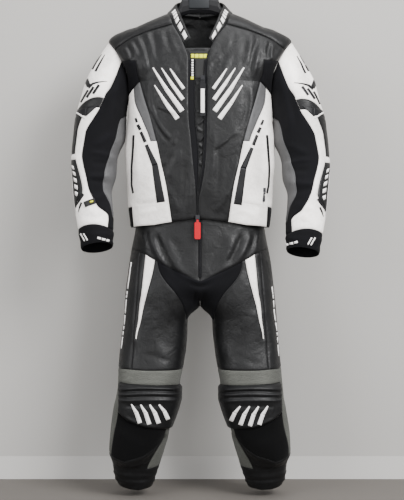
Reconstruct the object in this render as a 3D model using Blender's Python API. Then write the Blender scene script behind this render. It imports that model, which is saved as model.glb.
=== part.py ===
"""Motorcycle race suit hanging on a contoured hanger: a jacket over its trousers.

The origin is the inner top of the hanger's hook, +Z is up and the front faces -Y.
Cloth is cut as panels on four tubes (torso, sleeve, leg) whose sections are the tables below, in
millimetres. A column of a table is a seam, so neighbouring panels share its points and stay a
seam gap apart. Left is -X and right is +X, as seen from the front.
"""
import math

import bmesh
import bpy
import numpy as np
from mathutils import Matrix, Vector

MM = 0.001
SEAM_INSET = 0.3            # each panel's edge stays this far back from its seam line
LEATHER = 1.6
STRETCH = 1.2
PAD_LIFT = 7.0              # how far the knee pad stands out of the leg
PAD_INSET = 1.0             # and how far back from its seam line it keeps
RIGHT_SLEEVE_DROP = 14.0    # the right sleeve hangs a little lower
RIGHT_SLEEVE_WIDTH = 1.04
SQUARENESS = {"torso": 0.05, "leg": 0.03}

COLOURS = {  # name: (red, green, blue, roughness, metallic)
    "black_leather": (0.02, 0.02, 0.022, 0.42, 0.0),
    "white_leather": (0.76, 0.72, 0.69, 0.45, 0.0),
    "grey_leather": (0.2, 0.2, 0.205, 0.5, 0.0),
    "black_stretch": (0.009, 0.009, 0.011, 0.9, 0.0),
    "grey_stretch": (0.21, 0.215, 0.195, 0.85, 0.0),
    "velour": (0.004, 0.004, 0.004, 1.0, 0.0),
    "red_rubber": (0.75, 0.02, 0.05, 0.45, 0.0),
    "label": (0.7, 0.7, 0.03, 0.7, 0.0),
    "metal": (0.3, 0.3, 0.31, 0.35, 1.0),
    "hanger_plastic": (0.02, 0.02, 0.021, 0.4, 0.0),
}

# Armhole loop: an upright oval from the shoulder tip to the armpit, bowed towards the chest.
TIP_X, TIP_Z = 279.0, -280.0
ARMPIT_X, ARMPIT_Z = 216.0, -445.0
ARMHOLE_HALF_DEPTH = 60.0
ARMHOLE_BOW = 20.0

# Torso sections from the hem up. around is the place on the armhole loop in degrees, or None
# below it. x_ and z_ are the seams' places: neck or front edge, princess seam, side panel seam,
# hem elastic, side.
TORSO_COLUMNS = ("half_width", "front", "back", "around", "x_front_left", "x_front_right", "x_princess",
                 "x_panel", "x_elastic", "z_front", "z_princess", "z_panel", "z_elastic", "z_side",
                 "x_back", "z_back")
TORSO = (
    (212, 109, 98, None, 9, -5, 84, 137, 200, -818, -827, -836, -841, -842, 0, -842),    # 0 hem
    (217, 116, 106, None, 11, -4, 92, 129, 204, -765, -770, -774, -781, -783, 0, -783),  # 1 hem band
    (222, 120, 108, None, 14, 6, 101, 128, 212, -715, -715, -715, -715, -715, 0, -715),  # 2
    (226, 122, 110, None, 20, 15, 115, 136, 216, -655, -655, -655, -655, -655, 0, -655),  # 3
    (226, 124, 112, None, 26, 19, 129, 147, 216, -589, -589, -589, -589, -589, 0, -589),  # 4 wedge foot
    (220, 125, 113, None, 33, 20, 147, 172, 209, -520, -520, -525, -520, -518, 0, -525),  # 5
    (217, 124, 112, None, 34, 20, 166, 196, 208, -460, -460, -464, -468, -472, 0, -465),  # 6
    (216, 121, 110, 180, 34, 20, 180, 199, 209, -409, -410, -427, -437, -445, 0, -420),   # 7 armpit
    (216, 117, 108, 125, 34, 20, 188, 200, 209, -379, -379, -390, -400, -410, 0, -370),   # 8
    (235, 111, 100, 78, 34, 22, 190, 207, 222, -346, -349, -348, -347, -345, 0, -300),    # 9 gusset top
    (244, 100, 84, 66, 50, 38, 191, 210, 227, -295, -313, -318, -324, -329, 0, -187),     # 10 collar end
    (254, 76, 74, 53, 81, 79, 192, 216, 237, -236, -271, -283, -297, -313, 62, -183),     # 11 yoke seam
    (279, 0, 0, 0, 102, 102, 192, 216, 240, -193, -235, -241, -250, -280, 102, -193),     # 12 shoulder line
)
HEM, BAND, WEDGE_FOOT, ARMPIT, GUSSET, COLLAR_END, YOKE, SHOULDER = 0, 1, 4, 7, 9, 10, 11, 12

# Sleeve sections from the armhole down. bow_x and bow_z shift the front and back of the section,
# tilt lifts its front edge. The angles are seams: 0 outside, 90 front, 180 inside, 270 back.
SLEEVE_COLUMNS = ("x_out", "z_out", "x_in", "z_in", "y", "half_depth", "bow_x", "bow_z", "tilt",
                  "outer", "inlay", "stretch", "grey", "grey_back")
SLEEVE = (
    (279, -280, 216, -445, 0, 60, -20, 0, 0, 0, 53, 78, 125, 235),         # 0 armhole
    (312, -331, 218, -463, -2, 68, -12, 8, 0, 0, 52, 92, 140, 232),        # 1
    (345, -394, 220, -481, -5, 74, -5, 18, 0, 0, 50, 100, 153, 228),       # 2
    (371, -488, 222, -508, -9, 76, 0, 42, 0, 0, 47, 99, 165, 225),         # 3 cap edge
    (377, -508, 223, -532, -11, 75, 0, 33, 0, 0, 53, 92, 145, 225),        # 4 chevron edge
    (383, -556, 226, -574, -16, 72, 0, 0, 0, 0, 36, 62, 134, 225),         # 5
    (388, -623, 243, -617, -26, 68, 0, 0, 0, 0, 35, 60, 132, 225),         # 6 crossbar top
    (389, -640, 249, -640, -30, 67, 0, 0, 0, 0, 41, 63, 131, 225),         # 7 crossbar foot
    (386, -685, 251, -685, -42, 64, 0, 0, 0, 12, 54, 72, 121, 225),        # 8
    (382, -736, 265, -736, -57, 58, 0, 0, 0, 18, 67, 88, 131, 222),        # 9
    (373, -784, 261, -778, -72, 53, 0, 0, 0, 14, 26, 107, 157, 215),       # 10 inlay tip
    (368, -814, 257, -812, -82, 51, 0, 0, 2, 6, 45, 140, 165, 205),        # 11 wrist
    (361, -850, 256, -853, -94, 50, 0, 13, 5, 0, 50, 137, 166, 205),       # 12 cuff top
    (351, -909, 256, -897, -108, 46, 0, 0, 15, 0, 50, 137, 166, 205),      # 13 cuff end
)
CAP_EDGE, CHEVRON_EDGE, BAR_TOP, BAR_FOOT, INLAY_TIP, WRIST, CUFF_TOP, CUFF_END = 3, 4, 6, 7, 10, 11, 12, 13

# Leg sections from the waist down; above the crotch the section is cut off at the centre.
# Seams: centre or inseam, crotch panel or pad inner edge, wedge inner edge, wedge outer edge,
# side seam or pad outer edge, outside.
LEG_COLUMNS = ("x_outside", "x_inside", "centre", "y", "front", "back", "x_crotch", "x_wedge_in",
               "x_wedge_out", "x_side", "z_centre", "z_crotch", "z_wedge_in", "z_wedge_out", "z_side",
               "z_outside")
LEG = (
    (188, 0, 0, 0, 96, 86, 112, 120, 146, 162, -775, -775, -775, -775, -775, -775),               # 0 waist
    (196, 0, 0, 0, 99, 89, 118, 127, 155, 171, -840, -840, -840, -840, -840, -840),               # 1 under the hem
    (207, 0, 0, 0, 108, 110, 126, 135, 163, 181, -1003, -944, -940, -923, -914, -903),            # 2 yoke seam
    (226, 0, 105, 0, 101.5, 106, 60, 160, 175, 188, -1060, -1056, -1048, -1042, -1036, -1030),      # 3
    (228, 1, 114.5, 0, 100, 104, 49, 166, 179, 190, -1080, -1076, -1070, -1063, -1058, -1050),     # 4 crotch
    (232, 36, 134, -2, 96.5, 99, 41, 176, 184, 194, -1120, -1120, -1120, -1119, -1118, -1117),      # 5
    (238, 39, 138.5, -6, 92.5, 94, 46, 187, 190.5, 198, -1174, -1174, -1174, -1174, -1174, -1174),  # 6 wedge tip
    (245, 53, 149, -24, 86, 84, 61, 168, 190, 204, -1267, -1267, -1266, -1265, -1264, -1264),     # 7 knee band
    (247, 60, 153.5, -30, 86, 82, 66, 126, 192, 240, -1312, -1312, -1309, -1306, -1303, -1303),   # 8 pad top
    (252, 60, 156, -33, 86, 80, 66, 126, 192, 242, -1350, -1350, -1350, -1349, -1348, -1346),     # 9
    (260, 90, 175, -28, 82, 78, 99, 165, 214, 245, -1446, -1445, -1437, -1417, -1390, -1384),     # 10 pad foot
    (275, 98, 186.5, -10, 74, 78, 106, 168, 225, 268, -1480, -1474, -1523, -1542, -1526, -1518),  # 11 velour foot
    (265, 122, 193.5, 18, 66, 68, 158, 180, 212, 252, -1564, -1568, -1569, -1567, -1564, -1562),  # 12 calf foot
    (262, 134, 198, 30, 61, 63, 160, 182, 214, 247, -1601, -1602, -1604, -1604, -1602, -1600),    # 13
    (250, 146, 198, 40, 53, 55, 168, 186, 211, 237, -1633, -1636, -1639, -1637, -1632, -1629),    # 14 ankle hem
)
SEAT_RISE = (0, 75, 0)      # the back centre is this much higher than the front yoke seam's dip
WAIST, YOKE_SEAM, CROTCH_END, WEDGE_TIP, KNEE_BAND, PAD_TOP, PAD_FOOT = 0, 2, 5, 6, 7, 8, 10
VELOUR_FOOT, CALF_FOOT, ANKLE_HEM = 11, 12, 14

# Behind the front opening, how far in from the leather's outer face each layer lies.
TAPE_DEPTH, LABEL_DEPTH, FLAP_DEPTH = 3.4, 5.6, 7.6
TAPE_WALL, LABEL_WALL, FLAP_WALL = 1.2, 0.9, 1.5

# Pull tabs: width, length and thickness of the plate; the pin it turns on.
PIN_RADIUS, PIN_HOLE, PIN_LENGTH = 0.7, 1.1, 11.0
PULL_THICKNESS = 3.6
SLIDER_SIZE = (12.0, 6.0, 12.0)
CHEEK_SIZE = (1.8, 3.6, 9.0)
TAB_WIDTH = 6.0
HEAD_ROOM = 5.0             # from the pin up to the slider's body
MAIN_PIN = (-7.0, -117.0, -824.0)
UPPER_PIN = (8.0, -129.0, -415.0)
POCKET_PIN = (190.0, -80.0, -742.0)

# Pocket zip: (row, column) places along the middle of the ribbon.
POCKET_ZIP = ((1.6, 2.80), (2, 2.84), (3, 2.73), (4, 2.61), (4.3, 2.58))
POCKET_ZIP_WIDTH = 9.0

# Hanger: sections from the middle out: place, top, foot, half depth.
HANGER = (
    (0, -140, -190, 12), (30, -142, -192, 13), (55, -146, -200, 14), (63, -169, -204, 15), (84, -192, -213, 18),
    (105, -206, -226, 20), (150, -226, -243, 21), (192, -247, -261, 21), (224, -262, -273, 18),
)
HANGER_RING = 10            # points round each section
HOOK_RADIUS, HOOK_WIRE = 22.0, 2.0

# Collar: foot and top of the band from the front end to the centre back.
COLLAR_TOP = ((27, -4, -284), (57, -2, -212), (66, -26, -182), (72, 2, -160), (66, 34, -150), (46, 58, -142),
              (0, 69, -136))
COLLAR_FOOT_ROWS = (10, 11, 11.5, 12, 11.5, 11, 10)     # torso rows, front end round to the centre back
COLLAR_WALL = 3.0


def smooth(keys, table, at):
    """Values between a table's rows: cubic between rows, with slopes that never overshoot."""
    step = np.diff(keys)[:, None]
    slope = np.diff(table, axis=0) / step
    before, after = slope[:-1], slope[1:]
    weight_1, weight_2 = 2 * step[1:] + step[:-1], step[1:] + 2 * step[:-1]
    same = before * after > 0
    safe_before, safe_after = np.where(same, before, 1), np.where(same, after, 1)
    mean = (weight_1 + weight_2) / (weight_1 / safe_before + weight_2 / safe_after)
    tangent = np.concatenate([slope[:1], np.where(same, mean, 0), slope[-1:]])
    k = np.clip(np.searchsorted(keys, at, "right") - 1, 0, len(keys) - 2)
    t = ((at - keys[k]) / (keys[k + 1] - keys[k]))[:, None]
    h = step[k]
    return ((2 * t**3 - 3 * t**2 + 1) * table[k] + (t**3 - 2 * t**2 + t) * h * tangent[k]
            + (3 * t**2 - 2 * t**3) * table[k + 1] + (t**3 - t**2) * h * tangent[k + 1])


def rows_at(table, stations, v):
    """The table's values at row coordinates v, in which whole numbers are the table's rows."""
    keys = np.abs(np.concatenate([[0], np.cumsum(np.abs(np.diff(stations)) + 1.0)]))
    return smooth(keys, np.array(table, float), np.interp(v, np.arange(len(keys)), keys))


def oval(angle, squareness):
    """A unit oval's cosine-like and sine-like coordinates, squarer than a circle."""
    shrink = 1 - squareness
    return ((np.cos(angle) - squareness * np.cos(3 * angle)) / shrink,
            (np.sin(angle) + squareness * np.sin(3 * angle)) / shrink)


def oval_angle(share, squareness):
    """The angle whose cosine-like coordinate is share."""
    angles = np.linspace(math.pi, 0, 721)
    return np.interp(share, oval(angles, squareness)[0], angles)


def across(u, values):
    """Straight between the columns of values (rows x columns), at column coordinates u."""
    k = np.clip(np.floor(u).astype(int), 0, values.shape[1] - 2)
    t = u - k
    rows = np.arange(values.shape[0])[:, None]
    return values[rows, k] * (1 - t) + values[rows, k + 1] * t


def armhole(around):
    """Points of the armhole loop at angles around it, 0 at the shoulder tip and 180 at the armpit."""
    c, s = np.cos(np.radians(around)), np.sin(np.radians(around))
    x = (TIP_X + ARMPIT_X) / 2 + (TIP_X - ARMPIT_X) / 2 * c - ARMHOLE_BOW * s**2
    z = (TIP_Z + ARMPIT_Z) / 2 + (TIP_Z - ARMPIT_Z) / 2 * c
    return x, ARMHOLE_HALF_DEPTH * s, z


def torso_rows(v, right):
    """Torso section values at rows v, with the shoulder's roll as a quarter turn."""
    raw = np.array([[0 if x is None else x for x in row] for row in TORSO], float)
    t = rows_at(raw, raw[:, 10], v)
    t = dict(zip(TORSO_COLUMNS, t.T))
    roll = np.clip(v - YOKE, 0, 1)
    turn = (1 - roll) * math.pi / 2
    top, seam = raw[SHOULDER], raw[YOKE]
    for k, name in enumerate(TORSO_COLUMNS):
        if name in ("front", "back"):
            t[name] = np.where(v > YOKE, seam[k] * np.sin(turn), t[name])
        elif name.startswith("z_"):
            t[name] = np.where(v > YOKE, top[k] + (seam[k] - top[k]) * (1 - np.cos(turn)), t[name])
        elif name.startswith("x_"):
            t[name] = np.where(v > YOKE, seam[k] + (top[k] - seam[k]) * roll, t[name])
    around = np.interp(v, np.arange(ARMPIT, SHOULDER + 1), [TORSO[k][3] for k in range(ARMPIT, SHOULDER + 1)])
    arm_x, arm_y, arm_z = armhole(around)
    above = v >= ARMPIT
    t["arm"] = np.where(above, arm_y, 0)
    t["half_width"] = np.where(above, arm_x, t["half_width"])
    t["z_side"] = np.where(above, arm_z, t["z_side"])
    t["x_front"] = t["x_front_right"] if right else t["x_front_left"]
    return t


def torso(v, u, right, behind):
    """One half of the torso's front or back."""
    t = torso_rows(v, right)
    c = SQUARENESS["torso"]
    width, u = t["half_width"], np.tile(u, (len(v), 1))
    first, depth = ("back", t["back"]) if behind else ("front", t["front"])
    seams = [oval_angle(t["x_" + n] / width, c) for n in (first, "princess", "panel", "elastic")]
    angle = across(u, np.stack([*seams, np.zeros(len(v))], 1))
    z = across(u, np.stack([t["z_" + n] for n in (first, "princess", "panel", "elastic", "side")], 1))
    cosine, sine = oval(angle, c)
    y = t["arm"][:, None] + np.maximum(depth - t["arm"], 0)[:, None] * sine
    y = np.where((v >= SHOULDER)[:, None], 0, y)
    return np.stack([width[:, None] * cosine, y if behind else -y, z], -1)


def torso_front(v, u, right):
    """Front of one torso half. u: 0 front edge, 1 princess, 2 panel, 3 elastic, 4 side or armhole."""
    return torso(v, u, right, False)


def torso_back(v, u, right):
    """Back of one torso half. u: 0 centre back or neckline, 1 to 4 as on the front."""
    return torso(v, u, right, True)


def sleeve(v, u, right):
    """One sleeve. u: 0 outer, 2 inlay, 4 stretch, 5 grey, 6 inside, 7 grey back, 12 outer again."""
    t = dict(zip(SLEEVE_COLUMNS, rows_at(SLEEVE, [row[1] * 0.5 + row[3] * 0.5 for row in SLEEVE], v).T))
    first = np.clip(1 - v, 0, 1)
    outer, inlay, stretch = t["outer"], t["inlay"], t["stretch"]
    back = [t["grey_back"] + (360 + outer - t["grey_back"]) * k / 5 for k in range(6)]
    loop = (282, 294, 307, 333.5, 360)
    columns = [outer, (outer + inlay) / 2, inlay, (inlay + stretch) / 2 * (1 - first) + 66 * first, stretch,
               t["grey"], np.full(len(v), 180.0), back[0]]
    columns += [back[k + 1] * (1 - first) + loop[k] * first for k in range(5)]
    angle = np.radians(across(np.tile(u, (len(v), 1)), np.stack(columns, 1)))
    c, s = np.cos(angle), np.sin(angle)
    t = {name: value[:, None] for name, value in t.items()}
    grow = 1 + (RIGHT_SLEEVE_WIDTH - 1) * np.clip(v / 5, 0, 1)[:, None] if right else 1.0
    drop = RIGHT_SLEEVE_DROP * np.clip(v / CUFF_END, 0, 1)[:, None] ** 0.7 if right else 0.0
    x = (t["x_out"] + t["x_in"]) / 2 + (t["x_out"] - t["x_in"]) / 2 * c * grow + t["bow_x"] * s**2
    z = (t["z_out"] + t["z_in"]) / 2 + (t["z_out"] - t["z_in"]) / 2 * c + t["bow_z"] * s**2 + t["tilt"] * s
    y = t["y"] - t["half_depth"] * s
    return np.stack([x, y, z - drop], -1)


def leg(v, u, right):
    """One leg and its half of the hips. u: 0 centre, 1 crotch, 2, 3 wedge, 4 side, 5 outside, 6 centre back."""
    t = dict(zip(LEG_COLUMNS, rows_at(LEG, [row[15] for row in LEG], v).T))
    c = SQUARENESS["leg"]
    half = t["x_outside"] - t["centre"]
    names = ("x_crotch", "x_wedge_in", "x_wedge_out", "x_side")
    inner = oval_angle(np.clip((t["x_inside"] - t["centre"]) / half, -1, 1), c)
    seams = [oval_angle((t[n] - t["centre"]) / half, c) for n in names]
    angle = across(np.tile(u, (len(v), 1)), np.stack([inner, *seams, np.zeros(len(v)), -inner], 1))
    names = ("z_centre", "z_crotch", "z_wedge_in", "z_wedge_out", "z_side", "z_outside")
    seat = np.interp(v, (YOKE_SEAM - 1, YOKE_SEAM, CROTCH_END - 1), SEAT_RISE) + t["z_centre"]
    z = across(np.tile(u, (len(v), 1)), np.stack([*(t[n] for n in names), seat], 1))
    cosine, sine = oval(angle, c)
    depth = np.where(sine > 0, t["front"][:, None], t["back"][:, None])
    return np.stack([t["centre"][:, None] + half[:, None] * cosine, t["y"][:, None] - depth * sine, z], -1)


def collar(v, u, right):
    """Stand collar from the front end (v 0) round to the centre back (v 6). u: 0 foot, 1 top."""
    rows = np.array(COLLAR_FOOT_ROWS)
    centre = np.array([0.0])
    foot = np.concatenate([torso_front(rows[:4], centre, right), torso_back(rows[4:], centre, right)])[:, 0]
    top = np.array(COLLAR_TOP, float)
    top[:2, 1] += foot[:2, 1]
    pair = smooth(np.arange(7.0), np.concatenate([foot, top], 1), v)
    t = u[None, :, None]
    return pair[:, None, :3] * (1 - t) + pair[:, None, 3:] * t


def slopes(surface, v, u, right, last_v, last_u):
    """The surface's points, and its normals from points a little to each side that stay on it."""
    e = 1e-3
    dv = surface(np.minimum(v + e, last_v), u, right) - surface(np.maximum(v - e, 0), u, right)
    du = surface(v, np.minimum(u + e, last_u), right) - surface(v, np.maximum(u - e, 0), right)
    n = np.cross(du, dv)
    return surface(v, u, right), n / np.maximum(np.linalg.norm(n, axis=-1, keepdims=True), 1e-9)


def normals(surface, v, u, right, last_v, last_u):
    """Points and unit normals; where the tube closes, its first and last columns share one normal."""
    points, n = slopes(surface, v, u, right, last_v, last_u)
    ends, end_n = slopes(surface, v, np.array([0.0, last_u]), right, last_v, last_u)
    closed = np.linalg.norm(ends[:, 0] - ends[:, 1], axis=-1) < 0.01
    shared = end_n.sum(1) / np.linalg.norm(end_n.sum(1), axis=-1, keepdims=True)
    for k in np.flatnonzero((u == 0) | (u == last_u)):
        n[closed, k] = shared[closed]
    return points, n


SURFACES = {  # surface: its last row, its last column, and the sign that turns its normals outwards
    torso_front: (SHOULDER, 4, 1),
    torso_back: (SHOULDER, 4, -1),
    sleeve: (CUFF_END, 12, 1),
    leg: (ANKLE_HEM, 6, -1),
    collar: (6, 1, -1),
}


def patch(surface, side, v, u, lift=0.0):
    """A grid of points and normals in millimetres for one side, -1 left or 1 right."""
    v, u = np.array(v, float), np.array(u, float)
    last_v, last_u, sign = SURFACES[surface]
    points, normal = normals(surface, v, u, side > 0, last_v, last_u)
    normal = normal * sign
    mirror = np.array([side, 1, 1.0])
    return (points + normal * lift) * mirror, normal * mirror


def material(name):
    """The Principled material of one finish."""
    found = bpy.data.materials.get(name)
    if found:
        return found
    made = bpy.data.materials.new(name)
    made.use_nodes = True
    shader = made.node_tree.nodes["Principled BSDF"]
    red, green, blue, roughness, metallic = COLOURS[name]
    shader.inputs["Base Color"].default_value = (red, green, blue, 1)
    shader.inputs["Roughness"].default_value = roughness
    shader.inputs["Metallic"].default_value = metallic
    made.diffuse_color = (red, green, blue, 1)
    return made


def add_object(name, mesh_maker, finish):
    """An object from a bmesh in metres, smooth where it is round."""
    mesh = bpy.data.meshes.new(name)
    mesh_maker.to_mesh(mesh)
    mesh_maker.free()
    mesh.shade_smooth()
    mesh.set_sharp_from_angle(angle=math.radians(40))
    mesh.materials.append(material(finish))
    made = bpy.data.objects.new(name, mesh)
    bpy.context.scene.collection.objects.link(made)
    return made


def pull_back_edges(bm, normal_layer, inset):
    """Move the sheet's open edges towards its inside, so that neighbours keep the seam gap."""
    moves = {}
    for edge in bm.edges:
        if not edge.is_boundary:
            continue
        face = edge.link_faces[0]
        a, b = edge.verts
        along = (b.co - a.co).normalized()
        up = (a[normal_layer] + b[normal_layer]).normalized()
        inward = up.cross(along).normalized()
        if inward.dot(face.calc_center_median() - (a.co + b.co) / 2) < 0:
            inward.negate()
        for vertex in (a, b):
            moves.setdefault(vertex, []).append(inward)
    for vertex, ways in moves.items():
        total = sum(ways, Vector())
        if len(ways) == 2:
            total = total / max(1 + ways[0].dot(ways[1]), 0.2)
        vertex.co += total * inset * MM


def panel(name, finish, patches, thickness=LEATHER, base=0.0, inset=SEAM_INSET):
    """A cloth wall: grids joined at their shared points, then thickened inwards along the normals."""
    bm = bmesh.new()
    normal_layer = bm.verts.layers.float_vector.new("way_out")
    for points, normal in patches:
        rows = []
        for point_row, normal_row in zip(points, normal):
            row = []
            for point, way in zip(point_row, normal_row):
                vertex = bm.verts.new(Vector(point) * MM)
                vertex[normal_layer] = Vector(way)
                row.append(vertex)
            rows.append(row)
        for low, high in zip(rows, rows[1:]):
            for k in range(len(low) - 1):
                face = bm.faces.new((low[k], low[k + 1], high[k + 1], high[k]))
                face.normal_update()
                if face.normal.dot(low[k][normal_layer] + high[k + 1][normal_layer]) < 0:
                    face.normal_flip()
    bmesh.ops.remove_doubles(bm, verts=bm.verts, dist=0.05 * MM)
    bmesh.ops.dissolve_degenerate(bm, edges=bm.edges, dist=0.02 * MM)
    pull_back_edges(bm, normal_layer, inset)
    grown = bmesh.ops.extrude_face_region(bm, geom=list(bm.faces), use_keep_orig=True)
    for item in grown["geom"]:
        if isinstance(item, bmesh.types.BMVert):
            item.co -= item[normal_layer] * (thickness + base) * MM
    bmesh.ops.recalc_face_normals(bm, faces=bm.faces)
    return add_object(name, bm, finish)


def span(start, end, cells):
    """Evenly spaced coordinates, ends included."""
    return list(np.linspace(start, end, cells + 1))


FRONT_U = span(0, 1, 3)
ROLL_V = [YOKE, YOKE + 0.5, SHOULDER]


def build_jacket():
    """The torso's panels, left and right, and the back that reaches over the shoulders."""
    back, hem = [], []
    rows = list(range(HEM, SHOULDER))
    for side, word in ((-1, "left"), (1, "right")):
        panel("jacket_front_" + word, "black_leather", [
            patch(torso_front, side, rows[:YOKE + 1], FRONT_U),
            patch(torso_front, side, rows[GUSSET:YOKE + 1], [1, 2, 3, 4])])
        panel("side_grey_" + word, "grey_leather", [
            patch(torso_front, side, rows[WEDGE_FOOT:ARMPIT + 1], [1, 2])])
        panel("side_white_" + word, "white_leather", [
            patch(torso_front, side, rows[HEM:WEDGE_FOOT + 1], [1, 2, 3]),
            patch(torso_front, side, rows[WEDGE_FOOT:ARMPIT + 1], [2, 3]),
            patch(torso_front, side, rows[BAND:ARMPIT + 1], [3, 4]),
            patch(torso_back, side, rows[BAND:ARMPIT + 1], [3, 4])])
        panel("underarm_gusset_" + word, "black_stretch", [
            patch(torso_front, side, rows[ARMPIT:GUSSET + 1], [1, 2, 3, 4])], STRETCH)
        hem.append(patch(torso_front, side, [HEM, BAND], [3, 4]))
        hem.append(patch(torso_back, side, [HEM, BAND], [*FRONT_U, 2, 3, 4]))
        back.append(patch(torso_back, side, rows[BAND:YOKE + 1] + ROLL_V[1:], [*FRONT_U, 2, 3]))
        back.append(patch(torso_back, side, rows[ARMPIT:YOKE + 1] + ROLL_V[1:], [3, 4]))
        back.append(patch(torso_front, side, ROLL_V, [*FRONT_U, 2, 3, 4]))
    panel("jacket_back", "black_leather", back)
    panel("hem_elastic", "black_stretch", hem, 2.0)
    bands = [patch(collar, side, range(7), [0, 0.5, 1]) for side in (-1, 1)]
    panel("collar", "black_leather", bands, COLLAR_WALL)


SLEEVE_PIECES = (  # name, finish, wall, then blocks of rows and columns
    ("sleeve_cap", "white_leather", LEATHER, (((0, CAP_EDGE), (0, 4)), ((0, CAP_EDGE), (8, 12)))),
    ("sleeve_chevron", "black_leather", LEATHER, (((CAP_EDGE, CHEVRON_EDGE), (0, 4)),)),
    ("inlay_upper", "black_leather", LEATHER, (((CHEVRON_EDGE, BAR_TOP), (0, 2)),)),
    ("inlay_lower", "black_leather", LEATHER, (((BAR_FOOT, INLAY_TIP), (0, 2)),)),
    ("sleeve_white", "white_leather", LEATHER, (
        ((CHEVRON_EDGE, WRIST), (2, 4)), ((BAR_TOP, BAR_FOOT), (0, 2)), ((INLAY_TIP, WRIST), (0, 2)),
        ((WRIST, CUFF_TOP), (0, 4)))),
    ("sleeve_stretch", "black_stretch", STRETCH, (
        ((0, CAP_EDGE), (4, 8)), ((CAP_EDGE, WRIST), (4, 5)), ((WRIST, CUFF_TOP), (4, 7)))),
    ("sleeve_grey", "grey_leather", LEATHER, (((CAP_EDGE, WRIST), (5, 7)),)),
    ("sleeve_back", "black_leather", LEATHER, (((CAP_EDGE, CUFF_TOP), (7, 12)),)),
    ("cuff", "black_stretch", 2.5, (((CUFF_TOP, CUFF_END), (0, 12)),)),
)


def build_sleeves():
    """Both sleeves' pieces, from one table of blocks."""
    for side, word in ((-1, "left"), (1, "right")):
        for name, finish, wall, blocks in SLEEVE_PIECES:
            grids = []
            for (top, foot), (first, last) in blocks:
                grids.append(patch(sleeve, side, range(top, foot + 1), range(first, last + 1)))
            panel(name + "_" + word, finish, grids, wall)


BACK_U = span(5, 6, 5)
LEG_PIECES = (  # name, finish, wall, lift, then blocks of rows and column coordinates
    ("trouser_yoke", "black_leather", LEATHER, 0, (
        ((WAIST, YOKE_SEAM), [*span(0, 1, 2), *span(1, 2, 2)[1:], 3, 4, 5]),)),
    ("thigh_front", "black_leather", LEATHER, 0, (
        ((YOKE_SEAM, KNEE_BAND), span(1, 2, 2)), ((YOKE_SEAM, KNEE_BAND), [3, 4]),
        ((CROTCH_END, KNEE_BAND), span(0, 1, 2)), ((WEDGE_TIP, KNEE_BAND), [2, 3]))),
    ("thigh_wedge", "white_leather", LEATHER, 0, (((YOKE_SEAM, WEDGE_TIP), [2, 3]),)),
    ("thigh_outer", "black_leather", LEATHER, 0, (
        ((YOKE_SEAM, KNEE_BAND), [4, 5]), ((WAIST, KNEE_BAND), BACK_U))),
    ("knee_stretch", "grey_stretch", STRETCH, 0, (
        ((KNEE_BAND, PAD_TOP), [*span(0, 1, 2), *span(1, 2, 2)[1:], 3, 4, 5]),
        ((PAD_TOP, VELOUR_FOOT), [4, 5]), ((KNEE_BAND, CALF_FOOT), BACK_U),
        ((PAD_FOOT, CALF_FOOT), span(0, 1, 2)))),
    ("knee_pad", "black_leather", LEATHER, PAD_LIFT, (
        ((PAD_TOP, PAD_FOOT), [*span(0, 1, 2), *span(1, 2, 2)[1:], 3, 4]),)),
    ("velour_panel", "velour", LEATHER, 0, (((PAD_FOOT, VELOUR_FOOT), [*span(1, 2, 2), 3, 4]),)),
    ("ankle_leather", "black_leather", LEATHER, 0, (
        ((VELOUR_FOOT, CALF_FOOT), [*span(1, 2, 2), 3, 4, 5]),
        ((CALF_FOOT, ANKLE_HEM), [*span(0, 1, 2), *span(1, 2, 2)[1:], 3, 4, *BACK_U]))),
)


def build_trousers():
    """Both legs' pieces from one table of blocks, and the one crotch panel across the centre."""
    for side, word in ((-1, "left"), (1, "right")):
        for name, finish, wall, lift, blocks in LEG_PIECES:
            grids = [patch(leg, side, range(top, foot + 1), u, lift) for (top, foot), u in blocks]
            inset = PAD_INSET if lift else SEAM_INSET
            panel(name + "_" + word, finish, grids, wall, lift, inset)
    grids = [patch(leg, side, range(YOKE_SEAM, CROTCH_END + 1), span(0, 1, 2)) for side in (-1, 1)]
    panel("crotch_stretch", "black_stretch", grids, STRETCH)


def opening_strip(depth, left_edge, right_edge):
    """A surface behind the front opening: u runs from its left edge to its right edge."""
    def surface(v, u, right):
        t = torso_rows(v, False)
        left, other = t["x_front_left"], torso_rows(v, True)["x_front_right"]
        start, end = left_edge(-left, other), right_edge(-left, other)
        x = start[:, None] + (end - start)[:, None] * u
        angle = oval_angle(np.abs(x) / t["half_width"][:, None], SQUARENESS["torso"])
        sine = oval(angle, SQUARENESS["torso"])[1]
        y = t["arm"][:, None] + (t["front"] - t["arm"])[:, None] * sine - depth
        return np.stack([x, -y, np.tile(t["z_front"][:, None], (1, len(u)))], -1)
    return surface


def strip_grid(surface, v, u):
    """Points and normals of an opening strip, which is already on its own side."""
    points, normal = normals(surface, np.array(v, float), np.array(u, float), False, SHOULDER, 1)
    return points, normal


def build_opening():
    """Zip tapes, wind flap and neck label behind the open front."""
    middle = 1.0
    left = opening_strip(TAPE_DEPTH, lambda a, b: a - 8, lambda a, b: np.minimum(a + 20, (a + b) / 2 - middle))
    right = opening_strip(TAPE_DEPTH, lambda a, b: np.maximum(b - 8, (a + b) / 2 + middle), lambda a, b: b + 8)
    flap = opening_strip(FLAP_DEPTH, lambda a, b: a - 14, lambda a, b: b + 14)
    label = opening_strip(LABEL_DEPTH, lambda a, b: a + 6, lambda a, b: b - 4)
    rows = list(range(HEM, GUSSET + 1))
    panel("zip_tape_left", "black_stretch", [strip_grid(left, rows, [0, 1])], TAPE_WALL)
    panel("zip_tape_right", "black_stretch", [strip_grid(right, rows, [0, 1])], TAPE_WALL)
    panel("wind_flap", "black_leather", [strip_grid(flap, [0.2, *rows[1:], 9.7], [0, 0.5, 1])], FLAP_WALL)
    panel("neck_label", "label", [strip_grid(label, [7.2, 8, 9, 9.5], [0, 0.5, 1])], LABEL_WALL)


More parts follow.
